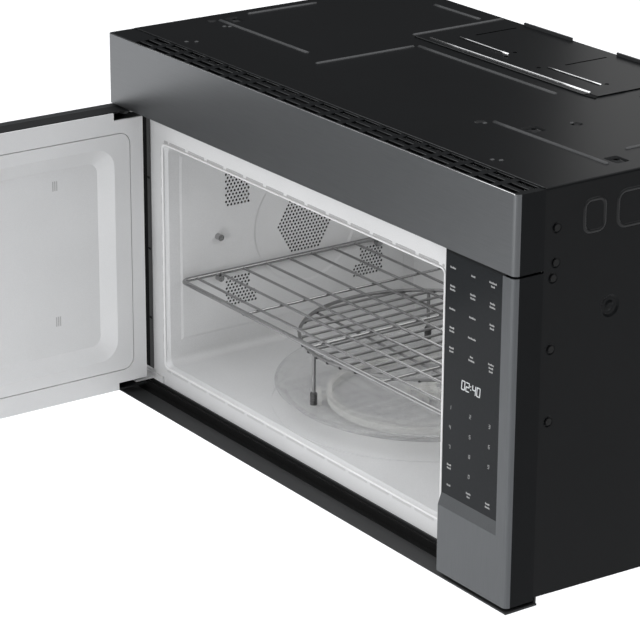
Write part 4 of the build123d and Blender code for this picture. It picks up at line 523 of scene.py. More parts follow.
def inside(point: Point, loop: Loop) -> bool:
    """Tells whether a point lies inside a loop.

    Args:
        point: the point.
        loop: the closed loop.

    Returns:
        Whether it does.
    """
    u, v = point
    odd = False
    for (u0, v0), (u1, v1) in zip(loop, loop[1:] + loop[:1]):
        if (v0 > v) != (v1 > v) and u < (u1 - u0) * (v - v0) / (v1 - v0) + u0:
            odd = not odd
    return odd


def lay_level(u: float, v: float, w: float) -> Vector:
    """A point of the frame from its X, Y and Z in millimetres."""
    return Vector((u, v, w)) * MM


def lay_upright(face: float) -> Lay:
    """Lays drawings on an upright face at that Y that looks to the front."""
    return lambda u, v, rise: Vector((u, face - rise, v)) * MM


class Spot(NamedTuple):
    """A point of the frame, in millimetres."""

    x: float
    y: float
    z: float


def box_of(node: str) -> tuple[Spot, Spot]:
    """Lowest and highest corner of a CAD node at rest."""
    low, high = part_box(node)
    return Spot(low.x / MM, low.y / MM, low.z / MM), Spot(high.x / MM, high.y / MM, high.z / MM)


def between(start: Vector, end: Vector, steps: int) -> list[Vector]:
    """Points in even steps from the start to the end."""
    return [start.lerp(end, k / steps) for k in range(steps + 1)]


# ---------------------------------------------------------------------- sheets and solids
@dataclass
class PressedSheet:
    """Drawing of a sheet-metal blank, in millimetres.

    Attributes:
        outline: outer edge of the blank.
        thickness: thickness of the sheet.
        pressed: closed loops, each with its height above the blank.
        holes: closed loops that are cut out.
        punched: small round holes, each a middle and a radius.
        folds: straight lines where the blank may bend.
    """

    outline: Loop
    thickness: float = 1.0
    pressed: list[tuple[Loop, float]] = field(default_factory=list)
    holes: list[Loop] = field(default_factory=list)
    punched: list[tuple[float, float, float]] = field(default_factory=list)
    folds: list[tuple[Point, Point]] = field(default_factory=list)

    PUNCH_SIDES = 8
    PUNCH_REACH = 0.93
    SAME_POINT = 0.02
    FAR = 1e6

    def boss(self, centre: Point, radius: float, rise: float, flat: float = 0.45) -> None:
        """Presses a round boss that is flat over the given share of its radius."""
        for share, height in ((1.0, 0.0), ((1 + flat) / 2, 0.6), (flat, 1.0)):
            self.pressed.append((circle_loop(*centre, radius * share, 18), rise * height))

    def step(self, loops: Sequence[Loop], rises: Sequence[float]) -> None:
        """Presses nested loops to the given heights, from the outermost inwards."""
        self.pressed.extend(zip(loops, rises))

    def build(self, name: str, shape: Lay) -> bpy.types.Object:
        """Cuts and presses the blank and lays it in place.

        Args:
            name: name of the new object.
            shape: gives the place of a point of the blank from its u, v and height.

        Returns:
            The sheet as a mesh object, as thick as the sheet on the side away from its face.
        """
        flat, faces = self._cut()
        middles = KDTree(len(self.punched) or 1)
        for k, (u, v, _) in enumerate(self.punched):
            middles.insert((u, v, 0), k)
        middles.balance()
        kept = [face for face in faces if self._is_metal(flat, face, middles)]
        used = sorted({corner for face in kept for corner in face})
        order = {corner: k for k, corner in enumerate(used)}
        heights, rises = self._heights()
        vertices = []
        for corner in used:
            u, v = flat[corner]
            _, near, distance = heights.find((u, v, 0))
            vertices.append(shape(u, v, rises[near] if distance < self.SAME_POINT else 0.0))
        mesh = bpy.data.meshes.new(name)
        mesh.from_pydata(vertices, [], [[order[corner] for corner in face] for face in kept])
        made = new_object(name, mesh)
        wall = made.modifiers.new("sheet", "SOLIDIFY")
        wall.thickness = self.thickness * MM
        wall.offset = -1.0
        return made

    def _cut(self) -> tuple[list[Vector], list[list[int]]]:
        """Divides the blank into triangles along every line of the drawing.

        Returns:
            The corners, and the corners of each triangle, holes included.
        """
        loops = [self.outline, *(loop for loop, _ in self.pressed), *self.holes]
        loops += [circle_loop(u, v, radius, self.PUNCH_SIDES, math.pi / self.PUNCH_SIDES)
                  for u, v, radius in self.punched]
        points: list[Vector] = []
        edges: list[tuple[int, int]] = []
        for loop in loops:
            first = len(points)
            points.extend(Vector(p) for p in loop)
            edges.extend((first + k, first + (k + 1) % len(loop)) for k in range(len(loop)))
        for start, end in self.folds:
            points.extend((Vector(start), Vector(end)))
            edges.append((len(points) - 2, len(points) - 1))
        flat, _, faces = delaunay_2d_cdt(points, edges, [], 0, 1e-4)[:3]
        return flat, faces

    def _heights(self) -> tuple[KDTree, list[float]]:
        """Gathers the height of every point of the pressed loops.

        Returns:
            A tree of the points and the height of each, with one far point if nothing is pressed.
        """
        drawn = [(u, v, rise) for loop, rise in self.pressed for u, v in loop]
        drawn = drawn or [(self.FAR, self.FAR, 0.0)]
        heights = KDTree(len(drawn))
        for k, (u, v, _) in enumerate(drawn):
            heights.insert((u, v, 0), k)
        heights.balance()
        return heights, [rise for _, _, rise in drawn]

    def _is_metal(self, flat: Sequence[Vector], face: Sequence[int], middles: KDTree) -> bool:
        """Tells whether a triangle of the blank is left once the holes are cut.

        Args:
            flat: corners of the triangles.
            face: the triangle.
            middles: tree of the middles of the punched holes.

        Returns:
            Whether it is.
        """
        u = sum(flat[corner][0] for corner in face) / len(face)
        v = sum(flat[corner][1] for corner in face) / len(face)
        if not inside((u, v), self.outline) or any(inside((u, v), hole) for hole in self.holes):
            return False
        if not self.punched:
            return True
        _, near, distance = middles.find((u, v, 0))
        return distance > self.punched[near][2] * self.PUNCH_REACH


def new_object(name: str, mesh: bpy.types.Mesh) -> bpy.types.Object:
    """Puts a mesh in the scene.

    Args:
        name: name of the new object.
        mesh: its mesh.

    Returns:
        The new object.
    """
    made = bpy.data.objects.new(name, mesh)
    bpy.context.scene.collection.objects.link(made)
    return made


def settle(piece: bpy.types.Object, finish: Finish, body: str, *stands_for: str) -> None:
    """Gives a finished piece its material, its body and the CAD nodes that it stands for.

    Args:
        piece: the new object, already in place.
        finish: the finish of the whole piece.
        body: the CAD body that it moves with.
        stands_for: CAD nodes that it replaces.
    """
    piece.data.materials.clear()
    piece.data.materials.append(finish.material())
    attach(piece, body)
    if stands_for:
        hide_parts(*stands_for)
    LOG.info("%s rides on %s", piece.name, body)


@dataclass
class Solids:
    """Collects bars, turned bodies and plates into one mesh.

    Attributes:
        mesh: the mesh under way.
    """

    mesh: bmesh.types.BMesh = field(default_factory=bmesh.new)

    DOME_LENGTH = 0.5
    DOME_SHARE = 0.6

    def plate(self, loop: Loop, shape: Lay, low: float, high: float, bevel: float = 0.0) -> None:
        """Adds a plate with the loop's outline between two heights, its upper edge bevelled.

        Args:
            loop: outline of the plate.
            shape: gives the place of a point from its u, v and height.
            low: height of the lower face.
            high: height of the upper face.
            bevel: width of the bevel round the upper face.
        """
        middle_u = sum(u for u, _ in loop) / len(loop)
        middle_v = sum(v for _, v in loop) / len(loop)
        reach = max(math.hypot(u - middle_u, v - middle_v) for u, v in loop)
        shrink = 1 - bevel / reach
        rows = [[(u, v, low) for u, v in loop], [(u, v, high - bevel) for u, v in loop]]
        if bevel:
            rows.append([(middle_u + (u - middle_u) * shrink, middle_v + (v - middle_v) * shrink,
                          high) for u, v in loop])
        self._skin([[shape(*point) for point in row] for row in rows])

    def rod(self, points: Sequence[Vector], radius: float, sides: int = 10,
            ends: bool = True) -> None:
        """Adds a round bar along a line of points.

        Args:
            points: middle line of the bar, in metres.
            radius: its radius, in millimetres.
            sides: number of flats round it.
            ends: whether its ends are closed with a small dome.
        """
        rings: list[tuple[Vector, Vector, Vector, float]] = []
        last = len(points) - 1
        side = None
        for k, point in enumerate(points):
            along = (points[min(k + 1, last)] - points[max(k - 1, 0)]).normalized()
            side = side or along.orthogonal().normalized()
            side = (side - along * side.dot(along)).normalized()
            across = along.cross(side)
            dome = along * radius * MM * self.DOME_LENGTH
            if ends and k == 0:
                rings.append((point - dome, side, across, self.DOME_SHARE))
            rings.append((point, side, across, 1.0))
            if ends and k == last:
                rings.append((point + dome, side, across, self.DOME_SHARE))
        self._skin([self._ring(point, side, across, radius * share, sides)
                    for point, side, across, share in rings], ends)

    def lathe(self, centre: Vector, profile: Sequence[Point], sides: int) -> None:
        """Adds a body turned about an upright axis.

        Args:
            centre: foot of the axis, in metres.
            profile: radius and height of each ring, in millimetres.
            sides: number of flats round it.
        """
        axis = Vector((0, 0, 1))
        side = axis.orthogonal().normalized()
        across = axis.cross(side)
        self._skin([self._ring(centre + axis * height * MM, side, across, radius, sides)
                    for radius, height in profile])

    @staticmethod
    def _ring(centre: Vector, side: Vector, across: Vector, radius: float,
              sides: int) -> list[Vector]:
        """Draws a ring.

        Args:
            centre: its middle, in metres.
            side: direction of its first point, of length 1.
            across: direction a quarter turn on, of length 1.
            radius: its radius, in millimetres.
            sides: number of its points.

        Returns:
            Its points, in metres.
        """
        turns = [2 * math.pi * k / sides for k in range(sides)]
        return [centre + (side * math.cos(turn) + across * math.sin(turn)) * radius * MM
                for turn in turns]

    def _skin(self, rings: Sequence[Sequence[Vector]], whole: bool = True) -> None:
        """Joins rings of points into one skin.

        Args:
            rings: rings with the same number of points.
            whole: whether both ends are closed.
        """
        made = [[self.mesh.verts.new(point) for point in ring] for ring in rings]
        for lower, upper in zip(made, made[1:]):
            for k in range(len(lower)):
                n = (k + 1) % len(lower)
                self.mesh.faces.new((lower[k], lower[n], upper[n], upper[k]))
        if whole:
            self.mesh.faces.new(list(reversed(made[0])))
            self.mesh.faces.new(made[-1])

    def settle(self, name: str, finish: Finish, body: str, smooth: bool = False) -> None:
        """Turns the collected bodies into one piece.

        Args:
            name: name of the piece.
            finish: its finish.
            body: the CAD body that it moves with.
            smooth: whether its faces are shaded smooth.
        """
        bmesh.ops.recalc_face_normals(self.mesh, faces=self.mesh.faces[:])
        mesh = bpy.data.meshes.new(name)
        self.mesh.to_mesh(mesh)
        self.mesh.free()
        for face in mesh.polygons:
            face.use_smooth = smooth
        settle(new_object(name, mesh), finish, body)


# ---------------------------------------------------------------------- view and light
@dataclass(frozen=True)
class PictureView:
    """The camera, at the place and angle of the photograph."""

    azimuth: float = 54.762
    elevation: float = 19.7
    roll: float = 0.29
    place: tuple[float, float, float] = (2.3693, -2.0571, 1.2603)
    lens: float = 158.2
    sensor: float = 36.0
    shift: tuple[float, float] = (-0.0047, -0.02)
    reach: float = 100.0

    def build(self) -> None:
        """Makes the camera and the scene's own camera of it."""
        camera = bpy.data.cameras.new("picture_camera")
        camera.lens = self.lens
        camera.sensor_width = self.sensor
        camera.shift_x, camera.shift_y = self.shift
        camera.clip_end = self.reach
        holder = bpy.data.objects.new("picture_camera", camera)
        turn = (Matrix.Rotation(math.radians(self.azimuth), 4, "Z")
                @ Matrix.Rotation(math.radians(90 - self.elevation), 4, "X")
                @ Matrix.Rotation(math.radians(self.roll), 4, "Z"))
        holder.matrix_world = Matrix.Translation(self.place) @ turn
        bpy.context.scene.collection.objects.link(holder)
        bpy.context.scene.camera = holder


@dataclass(frozen=True)
class SoftLight:
    """A square soft light that the camera doesn't see.

    Attributes:
        name: name of the light.
        place: where it hangs, in metres.
        aim: where it looks, in metres.
        size: length of its side, in metres.
        power: its power, in watts.
    """

    name: str
    place: tuple[float, float, float]
    aim: tuple[float, float, float]
    size: float
    power: float

    def build(self) -> None:
        """Hangs the light."""
        lamp = bpy.data.lights.new(self.name, "AREA")
        lamp.shape = "SQUARE"
        lamp.size = self.size
        lamp.energy = self.power
        holder = bpy.data.objects.new(self.name, lamp)
        holder.location = self.place
        look = Vector(self.aim) - Vector(self.place)
        holder.rotation_euler = look.to_track_quat("-Z", "Y").to_euler()
        holder.visible_camera = False
        bpy.context.scene.collection.objects.link(holder)


@dataclass(frozen=True)
class SoftStudio:
    """Pale floor, pale surroundings and soft lights round the oven."""

    floor_z: float = -0.45
    floor_reach: float = 14.0
    floor_tone: float = 0.97
    overhead: float = 2.1
    horizon: float = 0.05
    horizon_height: float = 0.45
    overhead_height: float = 0.8
    lights: tuple[SoftLight, ...] = (
        SoftLight("front_softbox", (-1.2, -2.9, 1.3), (0.0, -0.25, 0.2), 1.8, 26.0),
        SoftLight("oven_softbox", (0.5, -2.2, 0.5), (-0.05, -0.2, 0.12), 0.9, 11.5),
        SoftLight("rear_card", (-0.58, 0.82, 0.86), (0.3, -0.1, 0.446), 0.55, 0.75),
        SoftLight("left_card", (-1.75, -1.25, 0.02), (-0.3, -0.42, 0.42), 0.7, 1.6),
        SoftLight("oven_fill", (-0.055, -0.19, 0.305), (-0.055, -0.191, 0.0), 0.3, 0.42),
    )

    def build(self) -> None:
        """Lays the floor, hangs the lights and sets the pale surroundings."""
        self._surroundings()
        self._floor()
        for light in self.lights:
            light.build()
        LOG.info("studio is lit")

    def _surroundings(self) -> None:
        """Sets pale surroundings that light the oven from overhead, as a tent of cloth does."""
        world = bpy.data.worlds.new("pale_surroundings")
        world.use_nodes = True
        tree = world.node_tree
        back = tree.nodes["Background"]
        place = tree.nodes.new("ShaderNodeTexCoord")
        height = tree.nodes.new("ShaderNodeSeparateXYZ")
        ramp = tree.nodes.new("ShaderNodeMapRange")
        ramp.interpolation_type = "SMOOTHSTEP"
        for socket, value in (("From Min", self.horizon_height), ("From Max", self.overhead_height),
                              ("To Min", self.horizon), ("To Max", self.overhead)):
            ramp.inputs[socket].default_value = value
        path = tree.nodes.new("ShaderNodeLightPath")
        seen = tree.nodes.new("ShaderNodeMix")
        seen.inputs["B"].default_value = 1.0
        tree.links.new(place.outputs["Generated"], height.inputs[0])
        tree.links.new(height.outputs["Z"], ramp.inputs["Value"])
        tree.links.new(path.outputs["Is Camera Ray"], seen.inputs["Factor"])
        tree.links.new(ramp.outputs["Result"], seen.inputs["A"])
        tree.links.new(seen.outputs["Result"], back.inputs["Strength"])
        back.inputs["Color"].default_value = (0.97, 0.98, 1.0, 1.0)
        bpy.context.scene.world = world
        bpy.context.scene.view_settings.view_transform = "Standard"

    def _floor(self) -> None:
        """Lays a pale floor far out in every direction."""
        reach = self.floor_reach
        mesh = bpy.data.meshes.new("floor")
        mesh.from_pydata([(u, v, self.floor_z) for u, v in box_loop(-reach, reach, -reach, reach)],
                         [], [(0, 1, 2, 3)])
        floor = new_object("floor", mesh)
        pale = bpy.data.materials.new("pale_floor")
        pale.use_nodes = True
        shader = pale.node_tree.nodes["Principled BSDF"]
        shader.inputs["Base Color"].default_value = (*(self.floor_tone,) * 3, 1.0)
        shader.inputs["Roughness"].default_value = 0.9
        shader.inputs["Specular IOR Level"].default_value = 0.1
        mesh.materials.append(pale)


# ---------------------------------------------------------------------- sub-assemblies
@dataclass
class Corner:
    """The cabinet's extreme planes, read from the frame, in millimetres."""

    left: float = 0.0
    right: float = 0.0
    front: float = 0.0
    back: float = 0.0
    top: float = 0.0

    @classmethod
    def of_cabinet(cls) -> "Corner":
        """Reads the planes of the cabinet and its front.

        Returns:
            The planes.
        """
        low, high = box_of("cabinet_wrap")
        return cls(low.x, high.x, box_of("trim_face")[0].y, high.y, high.z)


@dataclass
class CabinetShell:
    """Painted wrap of top and sides, pressed with bosses and pockets and dressed with raised beads.

    Points are insets from the left side and setbacks from the front face, and on the sides setbacks
    and heights, all in millimetres.
    """

    corner: Corner
    bend: float = 2.5
    bend_steps: int = 4
    sheet: float = 1.0
    skirt: float = 9.7
    wrap_front: float = 36.0
    sill_depth: float = 41.0
    rise: float = -1.5
    bead_radius: float = 3.6
    bead_height: float = 1.5
    beads: tuple[tuple[Point, Point], ...] = (
        ((29, 138), (209, 138)), ((254, 120), (254, 254)), ((21, 184), (21, 281)),
        ((258, 260), (502, 260)), ((550, 138), (730, 138)), ((701, 188), (701, 230)),
        ((562, 329), (563, 352)), ((212, 287), (211, 418)), ((111, 395), (196, 396)),
    )
    dimples: tuple[Point, ...] = (
        (91, 51), (97.5, 60.6), (56, 126), (60, 131), (654.8, 52), (661.6, 58), (598.5, 202),
        (548, 127),
    )
    dimple_profile: tuple[Point, ...] = ((2.9, -0.3), (2.6, 0.3), (1.7, 0.8), (0.6, 1.0))
    bosses: tuple[Point, ...] = ((27, 127), (604, 204), (542, 126), (672, 330))
    boss_radius: float = 6.5
    lances: tuple[Point, ...] = ((35, 155), (593.8, 155), (724, 155))
    lance_steps: tuple[Point, ...] = ((11.0, 0.0), (9.6, 0.7), (8.6, 1.3))
    lance_squash: float = 0.8
    lance_corner: float = 2.5
    lance_hole: float = 3.2
    frames: tuple[tuple[float, float, float, float, float], ...] = (
        (86, 112, 391, 424, 8), (129, 246, 389, 426, 10), (271, 388, 389, 426, 10),
    )
    frame_radius: float = 2.6
    frame_rise: float = 1.0
    side_boss: Point = (123.6, 307.6)
    side_boss_steps: tuple[Point, ...] = ((12.0, 0.0), (9.6, 1.0), (6.0, 1.0), (3.4, 0.2))
    screw_pockets: tuple[Point, ...] = (
        (51, 403.2), (51, 367.2), (48, 351.7), (48, 277.2), (48, 200.2),
    )
    pocket_steps: tuple[Point, ...] = ((6.0, 0.0), (4.6, 0.5))
    duct: tuple[float, float, float, float] = (245, 514, 305, 409)
    duct_corner: float = 3.0
    inlet: tuple[float, float, float] = (690, 374, 10)
    edge_inset: float = 4.0
    edge_setback: float = 36.4
    edge_drop: float = 0.3
    edge_radius: float = 0.5

    @property
    def width(self) -> float:
        """Width of the cabinet."""
        return self.corner.right - self.corner.left

    @property
    def arc(self) -> float:
        """Length of the bent corner, along the sheet."""
        return self.bend * math.pi / 2

    @property
    def side(self) -> float:
        """Height of a side up to its bend."""
        return self.corner.top - self.bend

    @property
    def whole(self) -> float:
        """Length of the whole blank from one lower edge to the other."""
        return 2 * (self.side + self.arc) + self.width - 2 * self.bend

    def over(self, inset: float, setback: float) -> Point:
        """Place on the blank of a point of the top."""
        return (self.side + self.arc + inset - self.bend, setback)

    def on_top(self, inset: float, setback: float, height: float) -> Vector:
        """Place in the frame of a point above the top, in metres."""
        return lay_level(self.corner.left + inset, self.corner.front + setback,
                         self.corner.top + height)

    def shape(self, u: float, v: float, rise: float) -> Vector:
        """Bends the blank round the cabinet.

        Args:
            u: distance along the blank from the left lower edge.
            v: setback from the front face.
            rise: height above the blank's face.

        Returns:
            The point in the frame, in metres.
        """
        mirrored = u > self.whole / 2
        reach = self.whole - u if mirrored else u
        if reach <= self.side:
            x, z, nx, nz = self.corner.left, reach, -1.0, 0.0
        elif reach < self.side + self.arc:
            turn = (reach - self.side) / self.bend
            nx, nz = -math.cos(turn), math.sin(turn)
            x, z = self.corner.left + self.bend + self.bend * nx, self.side + self.bend * nz
        else:
            x = self.corner.left + self.bend + reach - self.side - self.arc
            z, nx, nz = self.corner.top, 0.0, 1.0
        x, z = x + nx * rise, z + nz * rise
        if mirrored:
            x = self.corner.left + self.corner.right - x
        return lay_level(x, self.corner.front + v, z)

    def build(self) -> None:
        """Presses the wrap, lays it over the cabinet and adds what stands proud of it."""
        front, back = self.wrap_front, self.corner.back - self.corner.front
        blank = PressedSheet(closed([
            (0, back), (self.skirt, self.sill_depth), (self.skirt, front),
            (self.whole - self.skirt, front), (self.whole - self.skirt, self.sill_depth),
            (self.whole, back)]), self.sheet)
        for k in range(self.bend_steps + 1):
            reach = self.side + self.arc * k / self.bend_steps
            for u in (reach, self.whole - reach):
                blank.folds.append(((u, front), (u, back)))
        for centre in self.bosses:
            blank.boss(self.over(*centre), self.boss_radius, self.rise)
        for centre in self.lances:
            self._lance(blank, centre)
        u0, v0 = self.over(self.duct[0], self.duct[2])
        u1, v1 = self.over(self.duct[1], self.duct[3])
        blank.holes.append(rounded_loop(u0, u1, v0, v1, self.duct_corner))
        blank.holes.append(circle_loop(*self.over(*self.inlet[:2]), self.inlet[2], 20))
        for mirrored in (False, True):
            self._press_side(blank, mirrored)
        settle(blank.build("cabinet_shell", self.shape), BLACK_PAINT, "cabinet", "cabinet_wrap")
        self._raise_beads()
        self._raise_frames()

    def _raise_beads(self) -> None:
        """Raises the beads and dimples of the top and the turned edge along its front, in painted
        highlight.
        """
        raised = Solids()
        sunk = self.bead_height - self.bead_radius
        for start, end in self.beads:
            line = [self.on_top(*point, sunk) for point in between(Vector(start), Vector(end), 8)]
            raised.rod(line, self.bead_radius, 20)
        for inset, setback in self.dimples:
            raised.lathe(self.on_top(inset, setback, 0.0), self.dimple_profile, 16)
        raised.settle("top_beads", PAINTED_HIGHLIGHT_BLACK, "cabinet", smooth=True)
        edge = Solids()
        edge.rod([self.on_top(inset, self.edge_setback, -self.edge_drop)
                  for inset in (self.edge_inset, self.width / 2, self.width - self.edge_inset)],
                 self.edge_radius, 8)
        edge.settle("wrap_edge_highlight", PAINTED_HIGHLIGHT_BLACK, "cabinet", smooth=True)

    def _raise_frames(self) -> None:
        """Raises the rounded frames along the upper edge of both sides, in painted highlight."""
        raised = Solids()
        sunk = self.frame_radius - self.frame_rise
        for x in (self.corner.left + sunk, self.corner.right - sunk):
            for *sides, radius in self.frames:
                loop = rounded_loop(*sides, radius, 5)
                points = [lay_level(x, self.corner.front + v, z) for v, z in loop]
                raised.rod(points + points[:2], self.frame_radius, 12, ends=False)
        raised.settle("side_frames", FRAME_HIGHLIGHT_PAINT, "cabinet", smooth=True)

    def _lance(self, blank: PressedSheet, centre: Point) -> None:
        """Presses the square pocket round a mounting hole and pierces it.

        Args:
            blank: blank of the wrap.
            centre: middle of the hole.
        """
        u, v = self.over(*centre)
        for half, share in self.lance_steps:
            deep = half * self.lance_squash
            blank.step([rounded_loop(u - half, u + half, v - deep, v + deep, self.lance_corner)],
                       (share * self.rise,))
        blank.holes.append(circle_loop(u, v, self.lance_hole, 14))

    def _press_side(self, blank: PressedSheet, mirrored: bool) -> None:
        """Presses the boss and the screw pockets of one side.

        Args:
            blank: blank of the wrap.
            mirrored: whether it is the right side.
        """
        rounds = [(self.side_boss, self.side_boss_steps, 24)]
        rounds += [(pocket, self.pocket_steps, 16) for pocket in self.screw_pockets]
        for (setback, height), steps, sides in rounds:
            u = self.whole - height if mirrored else height
            for radius, share in steps:
                blank.step([circle_loop(u, setback, radius, sides)], (share * self.rise,))


@dataclass
class ExhaustCover:
    """Beads, rear lips and edges of the cover plate in painted highlight, and its corner gap in
    painted shadow.

    Lengths are in millimetres. A bead is its two ends, each an X and a setback from the front face,
    and its radius.
    """

    corner: Corner
    sunk: float = 0.6
    beads: tuple[tuple[Point, Point, float], ...] = (
        ((-140.5, 290.5), (143.5, 290.5), 1.5), ((-124.5, 321.5), (-33.0, 319.5), 1.3),
        ((37.5, 320.0), (126.0, 321.0), 1.3),
    )
    lips: tuple[Point, Point] = ((-125.5, -38.5), (40.5, 104.5))
    lip_depth: float = 2.2
    lip_height: float = 3.7
    lip_bevel: float = 0.5
    edge_inset: float = 0.4
    edge_radius: float = 0.6
    edge_start: float = 3.0
    edge_end: float = 16.0
    side_edge: Point = (9.4, 46.4)
    gap_outline: tuple[Point, ...] = ((-13, -1), (4, 1), (0, 7.5), (-13.5, 7.5))
    gap_heights: Point = (-1.3, -1.0)

    def build(self) -> None:
        """Adds the beads, the lips along the wall and the edges in painted highlight and a painted
        shadow in the gap.
        """
        low, high = box_of("exhaust_plate")
        top = high.z - self.sunk
        bright = Solids()
        for start, end, radius in self.beads:
            bright.rod([lay_level(x, self.corner.front + setback, top)
                        for x, setback in between(Vector(start), Vector(end), 6)], radius, 10)
        bright.settle("cover_bead_highlights", EDGE_HIGHLIGHT, "cabinet", smooth=True)
        lips = Solids()
        for x0, x1 in self.lips:
            lips.plate(box_loop(x0, x1, high.y - self.lip_depth, high.y), lay_level, top,
                       top + self.lip_height, self.lip_bevel)
        lips.settle("cover_lips", PAINTED_HIGHLIGHT_BLACK, "cabinet")
        edges = Solids()
        y = low.y + self.edge_inset
        x = high.x - self.edge_inset
        for line in ([(low.x + self.edge_start, y), (0.0, y), (high.x - self.edge_end, y)],
                     [(x, low.y + reach) for reach in self.side_edge]):
            edges.rod([lay_level(*point, top) for point in line], self.edge_radius, 8)
        edges.settle("cover_edge_highlights", PAINTED_HIGHLIGHT_BLACK, "cabinet", smooth=True)
        gap = Solids()
        gap.plate([(high.x + u, low.y + v) for u, v in self.gap_outline], lay_level,
                  *(high.z + height for height in self.gap_heights))
        gap.settle("cover_gap_shadow", DEEP_SHADOW, "cabinet")


@dataclass
class PerforatedWall:
    """Left wall of the oven, punched with fine holes in front of the fan and at its corners.

    Lengths are setbacks from the front face and heights, in millimetres. A field of holes is a span
    of heights over the fan's axis.
    """

    corner: Corner
    pitch: float = 4.95
    row_pitch: float = 4.25
    hole_radius: float = 1.75
    fan: Point = (244.0, 182.2)
    centre_half: float = 40.5
    centre_flat: float = 22.5
    centre_height: float = 34.5
    corner_in: float = 82.0
    corner_out: float = 118.0
    upper_field: Point = (42.0, 86.0)
    lower_field: Point = (-89.0, -49.0)
    bulge_in: float = 72.0
    bulge_top: float = -69.0
    ring_radius: float = 75.0
    ring_drop: float = 1.1
    ring_steps: int = 56
    panel: tuple[float, float, float, float] = (62.0, 397.0, 66.0, 299.0)
    panel_rise: float = 0.8
    slope: float = 3.0

    def in_field(self, across: float, up: float) -> bool:
        """Tells whether a hole belongs somewhere.

        Args:
            across: distance behind the fan's axis.
            up: height over the fan's axis.

        Returns:
            Whether it does.
        """
        beside, away = abs(across), abs(up)
        taper = (self.centre_half - self.centre_flat) * (1 - away / self.centre_height)
        if away <= self.centre_height and beside <= self.centre_flat + taper:
            return True
        if beside > self.corner_out:
            return False
        if self.upper_field[0] <= up <= self.upper_field[1]:
            return beside >= self.corner_in
        if self.lower_field[0] <= up <= self.lower_field[1]:
            return beside >= (self.bulge_in if up <= self.bulge_top else self.corner_in)
        return False

    def lift(self, u: float, v: float) -> float:
        """Finds how far the wall's face stands proud.

        Args:
            u: setback.
            v: height.

        Returns:
            The distance towards the oven.
        """
        inward = min(u - self.panel[0], self.panel[1] - u, v - self.panel[2], self.panel[3] - v)
        within = self.ring_radius + self.slope / 2 - math.hypot(u - self.fan[0], v - self.fan[1])
        raised = min(max(inward / self.slope, 0.0), 1.0)
        sunk = min(max(within / self.slope, 0.0), 1.0)
        return self.panel_rise * raised - self.ring_drop * sunk

    def build(self) -> None:
        """Punches and presses the wall and stands it in the oven."""
        low, high = box_of("cavity_side_left")
        front = self.corner.front
        blank = PressedSheet(box_loop(low.y - front, high.y - front, low.z, high.z))
        rows = int(-self.lower_field[0] / self.row_pitch) + 1
        columns = int(self.corner_out / self.pitch) + 1
        for row in range(-rows, rows + 1):
            for column in range(-columns, columns + 1):
                across = (column + (row % 2) / 2) * self.pitch
                up = row * self.row_pitch
                if self.in_field(across, up):
                    blank.punched.append((self.fan[0] + across, self.fan[1] + up, self.hole_radius))
        u0, u1, v0, v1 = self.panel
        lines = [circle_loop(*self.fan, self.ring_radius + grow, self.ring_steps)
                 for grow in (self.slope / 2, -self.slope / 2)]
        lines += [box_loop(u0 + inset, u1 - inset, v0 + inset, v1 - inset)
                  for inset in (0.0, self.slope)]
        blank.step(lines, (0.0,) * len(lines))
        piece = blank.build("perforated_wall", lambda u, v, rise: lay_level(
            high.x + self.lift(u, v) + rise, front + u, v))
        settle(piece, ENAMEL, "cabinet", "cavity_side_left")


